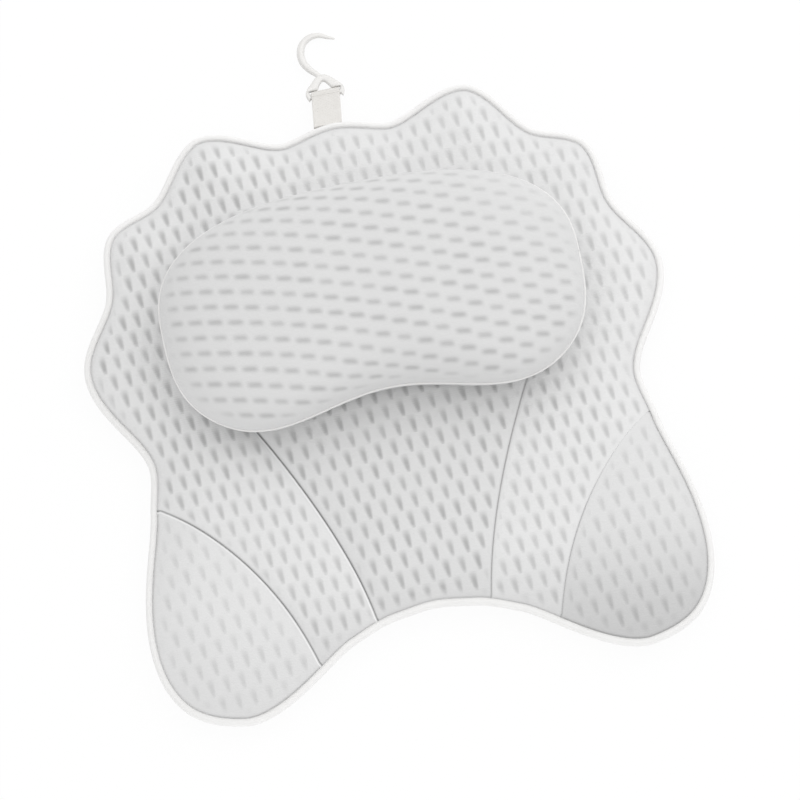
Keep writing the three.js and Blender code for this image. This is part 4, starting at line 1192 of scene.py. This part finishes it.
for spot, place in cupPlaces.items():
    points, faces = lathe(cupProfile(), cup["sides"], place)
    mesh = makeMesh("cup_" + spot, points, [faces])
    makePiece("cup_" + spot, mesh, "cup_" + spot, "cup_rubber", ["suction_cup_" + spot])
    ring = eyeletProfile()
    points, faces = lathe(np.concatenate([ring, ring[:1]]), eyelet["sides"], place)
    mesh = makeMesh("eyelet_" + spot, points, [faces])
    makePiece("eyelet_" + spot, mesh, "pillow", "eyelet_plastic", ["cup_eyelet_" + spot])
print("cups made:", len(cupPlaces))

# Hanging loop and hook

loop = {"width": 19.5, "thick": 1.15, "layers": 0.62, "bar": 2.75, "steps": 150, "edgeSteps": 6,
        "root": [(-2.4, 0.0), (1.0, 0.0), (6.0, 0.0), (13.0, 0.0), (16.6, 0.25)],  # along, and apart
        "foldTurn": 140.0, "foldSteps": 15, "foldSlack": 0.25, "ribs": 16,
        "stitchAt": 12.5, "stitchRows": 2.4, "stitch": 2.2, "stitchPitch": 2.9, "stitchMargin": 3.0,
        "thread": 0.24, "sunk": 0.02}
hook = {"reach": 43.0, "thick": 5.0, "bar": 3.8, "voxel": 0.28, "floorGap": 0.3,
        "path": [(0.3, 10.6), (-2.9, 15.0), (-6.9, 19.2), (-10.3, 25.0), (-10.9, 31.8), (-8.3, 38.2),
                 (-2.6, 42.0), (3.7, 42.2), (9.2, 39.7), (14.0, 37.6)],  # middle of the wire, frame to tip
        "frameOut": [(0, -1.9), (10.1, -1.95), (11.4, -3.5), (12.7, -1.3), (13.4, 1.3), (12.8, 4.0),
                     (10.8, 6.8), (8.1, 9.4), (5.4, 12.0), (2.6, 13.8), (0, 14.2)],
        "eye": [(0, 1.9), (9.9, 1.9), (10.5, 2.0), (10.75, 2.4), (10.75, 3.3), (10.2, 3.68), (7.5, 3.72),
                (4.9, 3.9), (3.0, 6.6), (1.2, 8.8), (0, 9.5)],
        "wire": [(0, 3.5), (0.15, 4.2), (0.38, 5.5), (0.66, 4.6), (0.88, 2.9), (1, 1.3)],  # share, thickness
        "tipEnd": 1.012, "tipRound": 0.02,  # shares of the wire's length
        "sides": 20, "wireSteps": 160, "widthSteps": 400,
        "square": 0.6, "barEnds": (9.9, 11.0), "barSide": (1.0, 3.0), "thickens": (2.0, 5.0)}
loopRoot, hookBar = jointPlaces["loop_fold"], jointPlaces["hook_swing"]
loopLength = lengthOf((hookBar - loopRoot)[1:])
loopSkew = (hookBar - loopRoot)[0] / loopLength  # sideways for each millimetre of length


def sloped(points, origin, droop, skew=0.0):  # length along Y and height along Z, skewed and tipped down
    c, s = math.cos(droop), math.sin(droop)
    return np.stack([points[..., 0] + skew * points[..., 1], points[..., 1] * c + points[..., 2] * s,
                     points[..., 2] * c - points[..., 1] * s], -1) + origin


# A flat section with round sides carried up to the bar, round it and back, and two rows of stitches
def hangLoop():
    droop = math.asin((loopRoot[2] - hookBar[2]) / loopLength)
    turn = np.radians(np.linspace(loop["foldTurn"], -loop["foldTurn"], loop["foldSteps"]))
    fold = np.stack([loopLength + loop["bar"] * np.cos(turn), loop["bar"] * np.sin(turn)], -1)
    fold = fold + [loop["foldSlack"], 0]
    up = np.array(loop["root"]) + [0, loop["layers"]]
    line = splineThrough(np.concatenate([up, fold, up[::-1] * [1, -1]]), loop["steps"])
    out = -turnedRight(line)
    turn = allRound(4 * loop["edgeSteps"])
    straight = loop["width"] / 2 - loop["thick"] / 2
    across = np.sign(np.cos(turn)) * straight + np.cos(turn) * loop["thick"] / 2
    lift = np.sin(turn) * loop["thick"] / 2
    ribs = np.linspace(-1, 1, loop["ribs"])[1:-1] * straight
    level = np.full(len(ribs), loop["thick"] / 2)
    cuts = [loop["edgeSteps"] + 1, 3 * loop["edgeSteps"] + 1]  # where the two flat faces come in
    first, second, third = np.split(across, cuts)
    across = np.concatenate([first, ribs[::-1], second, ribs, third])
    first, second, third = np.split(lift, cuts)
    lift = np.concatenate([first, level, second, -level, third])
    flat = line[:, None] + out[:, None] * lift[None, :, None]
    points = np.concatenate([np.broadcast_to(across[None, :, None], (*flat.shape[:2], 1)), flat], -1)
    run = np.linspace(0, lengthOf(np.diff(line, axis=0)).sum(), len(line))
    attributes = {"along": np.repeat(run[:, None], len(across), 1).ravel(),
                  "across": np.repeat(across[None], len(line), 0).ravel()}
    size = len(across)
    ends = [np.arange(size)[None], (np.arange(size) + (len(line) - 1) * size)[None]]
    mesh = makeMesh("webbing_loop", sloped(points, loopRoot, droop, loopSkew),
                    [gridFaces(len(line), size, wrap=True), *ends], attributes)
    makePiece("webbing_loop", mesh, "loop", "webbing", ["hang_loop"])
    count = int((loop["width"] - loop["stitchMargin"]) / loop["stitchPitch"])
    spots = (np.arange(count) - (count - 1) / 2) * loop["stitchPitch"]
    rows = []
    ahead = np.tile([1.0, 0, 0], (count, 1))
    for back in (0.0, loop["stitchRows"]):
        for side in (1.0, -1.0):
            lift = np.full(count, side * (loop["layers"] + loop["thick"] / 2 - loop["sunk"]))
            places = np.stack([spots, np.full(count, loop["stitchAt"] - back), lift], -1)
            up = np.tile([0, 0, side], (count, 1))
            rows.append(stitchRow(places, ahead, up, loop["stitch"], loop["thread"]))
    points, faces = joined(rows)
    mesh = makeMesh("loop_stitches", sloped(points, loopRoot, droop, loopSkew), [faces], {
        "along": points[:, 0], "across": points[:, 1]})
    makePiece("loop_stitches", mesh, "loop", "webbing")


# Frame: a superellipse between the eye's edge and the outside; wire: circles along a curve; both fused
def hangHook():
    droop = math.asin((hookBar[2] - hook["thick"] / 2 - hook["floorGap"]) / hook["reach"])
    halves = [curveThrough(np.array(hook[key], float)) for key in ("frameOut", "eye")]
    outer, inner = [np.concatenate([line, mirrored(line)[::-1][1:]]) for line in halves]
    sides = hook["sides"]
    turn = allRound(sides)
    middle = (outer + inner) / 2
    bar = 1 - smooth(np.abs(middle[:, 0]), *hook["barEnds"])
    bar = bar * (1 - smooth(middle[:, 1], *hook["barSide"]))
    power = hook["square"] + (1 - hook["square"]) * bar[:, None]  # round where the webbing turns on it
    wide, deep = squarish(turn, power)
    flat = middle[:, None] + ((outer - inner) / 2)[:, None] * wide[..., None]
    half = hook["bar"] / 2 + (hook["thick"] - hook["bar"]) / 2 * smooth(outer[:, 1], *hook["thickens"])
    frameRings = lifted(flat, half[:, None] * deep)
    wire = splineThrough(np.array(hook["path"]), hook["wireSteps"])
    share = np.linspace(0, 1, len(wire))
    radius = splineThrough(np.array(hook["wire"], float), hook["widthSteps"])
    radius = np.interp(share, radius[:, 0], radius[:, 1]) / 2
    radius = radius * np.sqrt(np.clip((hook["tipEnd"] - share) / hook["tipRound"], 0, 1))
    aside = -turnedRight(wire)[:, None] * (radius[:, None] * np.cos(turn))[..., None]
    wireRings = lifted(wire[:, None] + aside, radius[:, None] * np.sin(turn))
    start = len(frameRings) * sides
    caps = [(start + sides * k + np.arange(sides))[None] for k in (0, len(wire) - 1)]
    points = sloped(np.concatenate([frameRings, wireRings]), hookBar, droop)
    mesh = makeMesh("hook", points, [gridFaces(len(frameRings), sides, wrap=True),
                                     gridFaces(len(wire), sides, start, wrap=True), *caps])
    piece = makePiece("hook", mesh, "hook", "hook_plastic", ["hang_hook"])
    fuse = piece.modifiers.new("fuse", "REMESH")
    fuse.mode = "VOXEL"
    fuse.voxel_size = hook["voxel"] * mm
    fuse.use_smooth_shade = True
    soften = piece.modifiers.new("soften", "SMOOTH")
    soften.iterations = 6
    soften.factor = 0.5


hangLoop()
hangHook()
print("loop and hook made")

# Stage, light and camera

view = {"azimuth": -11.64, "elevation": 79.0, "lens": 1000.0, "sensor": 36.0, "acrossFrame": 542.4,
        "aim": (6.14, -5.13, 20.0)}
light = {"fill": 0.74, "floorLift": 0.95,
         "key": {"towards": (0.8, 0.6), "height": 48.0, "far": 2.0, "size": 2.4, "watts": 14.5},
         "soft": {"towards": (-0.5, 0.85), "height": 62.0, "far": 2.2, "size": 1.6, "watts": 5.5},
         "front": {"towards": (-0.2, -1.0), "height": 22.0, "far": 2.2, "size": 1.6, "watts": 8.0}}


def seenDirectly(finish):  # 1 for what the camera, a reflection or a clear piece sees
    kinds = ("Camera", "Glossy", "Transmission")
    rays = [finish.node("LightPath", {}, {}, "Is " + kind + " Ray") for kind in kinds]
    return rays[0].most(rays[1]).most(rays[2])


def whiteFloor():  # matt to the light, and mostly a white glow to what sees it, with a faint shadow
    finish = Finish("floor")
    seen = seenDirectly(finish)
    matt = finish.node("BsdfDiffuse", {}, {"Color": grey(0.97)})
    glow = finish.node("Emission", {}, {"Color": grey(1.0), "Strength": 1.0})
    both = finish.node("MixShader", {}, {0: seen * light["floorLift"], 1: matt, 2: glow})
    finish.node("OutputMaterial", {}, {"Surface": both})
    mesh = bpy.data.meshes.new("floor")
    mesh.from_pydata([(-4, -4, 0), (4, -4, 0), (4, 4, 0), (-4, 4, 0)], [], [(0, 1, 2, 3)])
    mesh.materials.append(finish.material)
    floor = bpy.data.objects.new("floor", mesh)
    scene.collection.objects.link(floor)


def paleWorld():  # even light from all round, seen as white
    world = bpy.data.worlds.new("studio")
    scene.world = world
    world.use_nodes = True
    finish = Finish("worldDraft")
    finish.tree = world.node_tree
    finish.tree.nodes.clear()
    seen = seenDirectly(finish)
    strength = seen * (1 - light["fill"]) + light["fill"]
    sky = finish.node("Background", {}, {"Color": grey(1.0), "Strength": strength})
    finish.node("OutputWorld", {}, {"Surface": sky})
    bpy.data.materials.remove(finish.material)


def softLamp(name, look):  # a disc of light that faces the frame's origin
    lamp = bpy.data.lights.new(name, "AREA")
    lamp.shape = "DISK"
    lamp.size = look["size"]
    lamp.energy = look["watts"]
    holder = bpy.data.objects.new(name, lamp)
    tilt = math.radians(look["height"])
    level = math.cos(tilt) / math.hypot(*look["towards"])
    back = Vector((look["towards"][0] * level, look["towards"][1] * level, math.sin(tilt)))
    holder.location = back * look["far"]
    holder.rotation_euler = back.to_track_quat("Z", "Y").to_euler()
    scene.collection.objects.link(holder)


def photoCamera():  # a long lens, as far back as makes the frame the given width
    data = bpy.data.cameras.new("camera")
    data.lens = view["lens"]
    data.sensor_width = view["sensor"]
    camera = bpy.data.objects.new("camera", data)
    turn, tilt = math.radians(view["azimuth"]), math.radians(view["elevation"])
    back = Vector((math.sin(turn) * math.cos(tilt), -math.cos(turn) * math.cos(tilt), math.sin(tilt)))
    far = view["acrossFrame"] * mm * view["lens"] / view["sensor"]
    aim = Vector((np.array(view["aim"]) + panelMiddle) * mm)
    camera.location = aim + back * far
    camera.rotation_euler = back.to_track_quat("Z", "Y").to_euler()
    scene.collection.objects.link(camera)
    scene.camera = camera


whiteFloor()
paleWorld()
for lampName in ("key", "soft", "front"):
    softLamp(lampName, light[lampName])
photoCamera()
scene.view_settings.view_transform = "Standard"
print("stage, light and camera made")
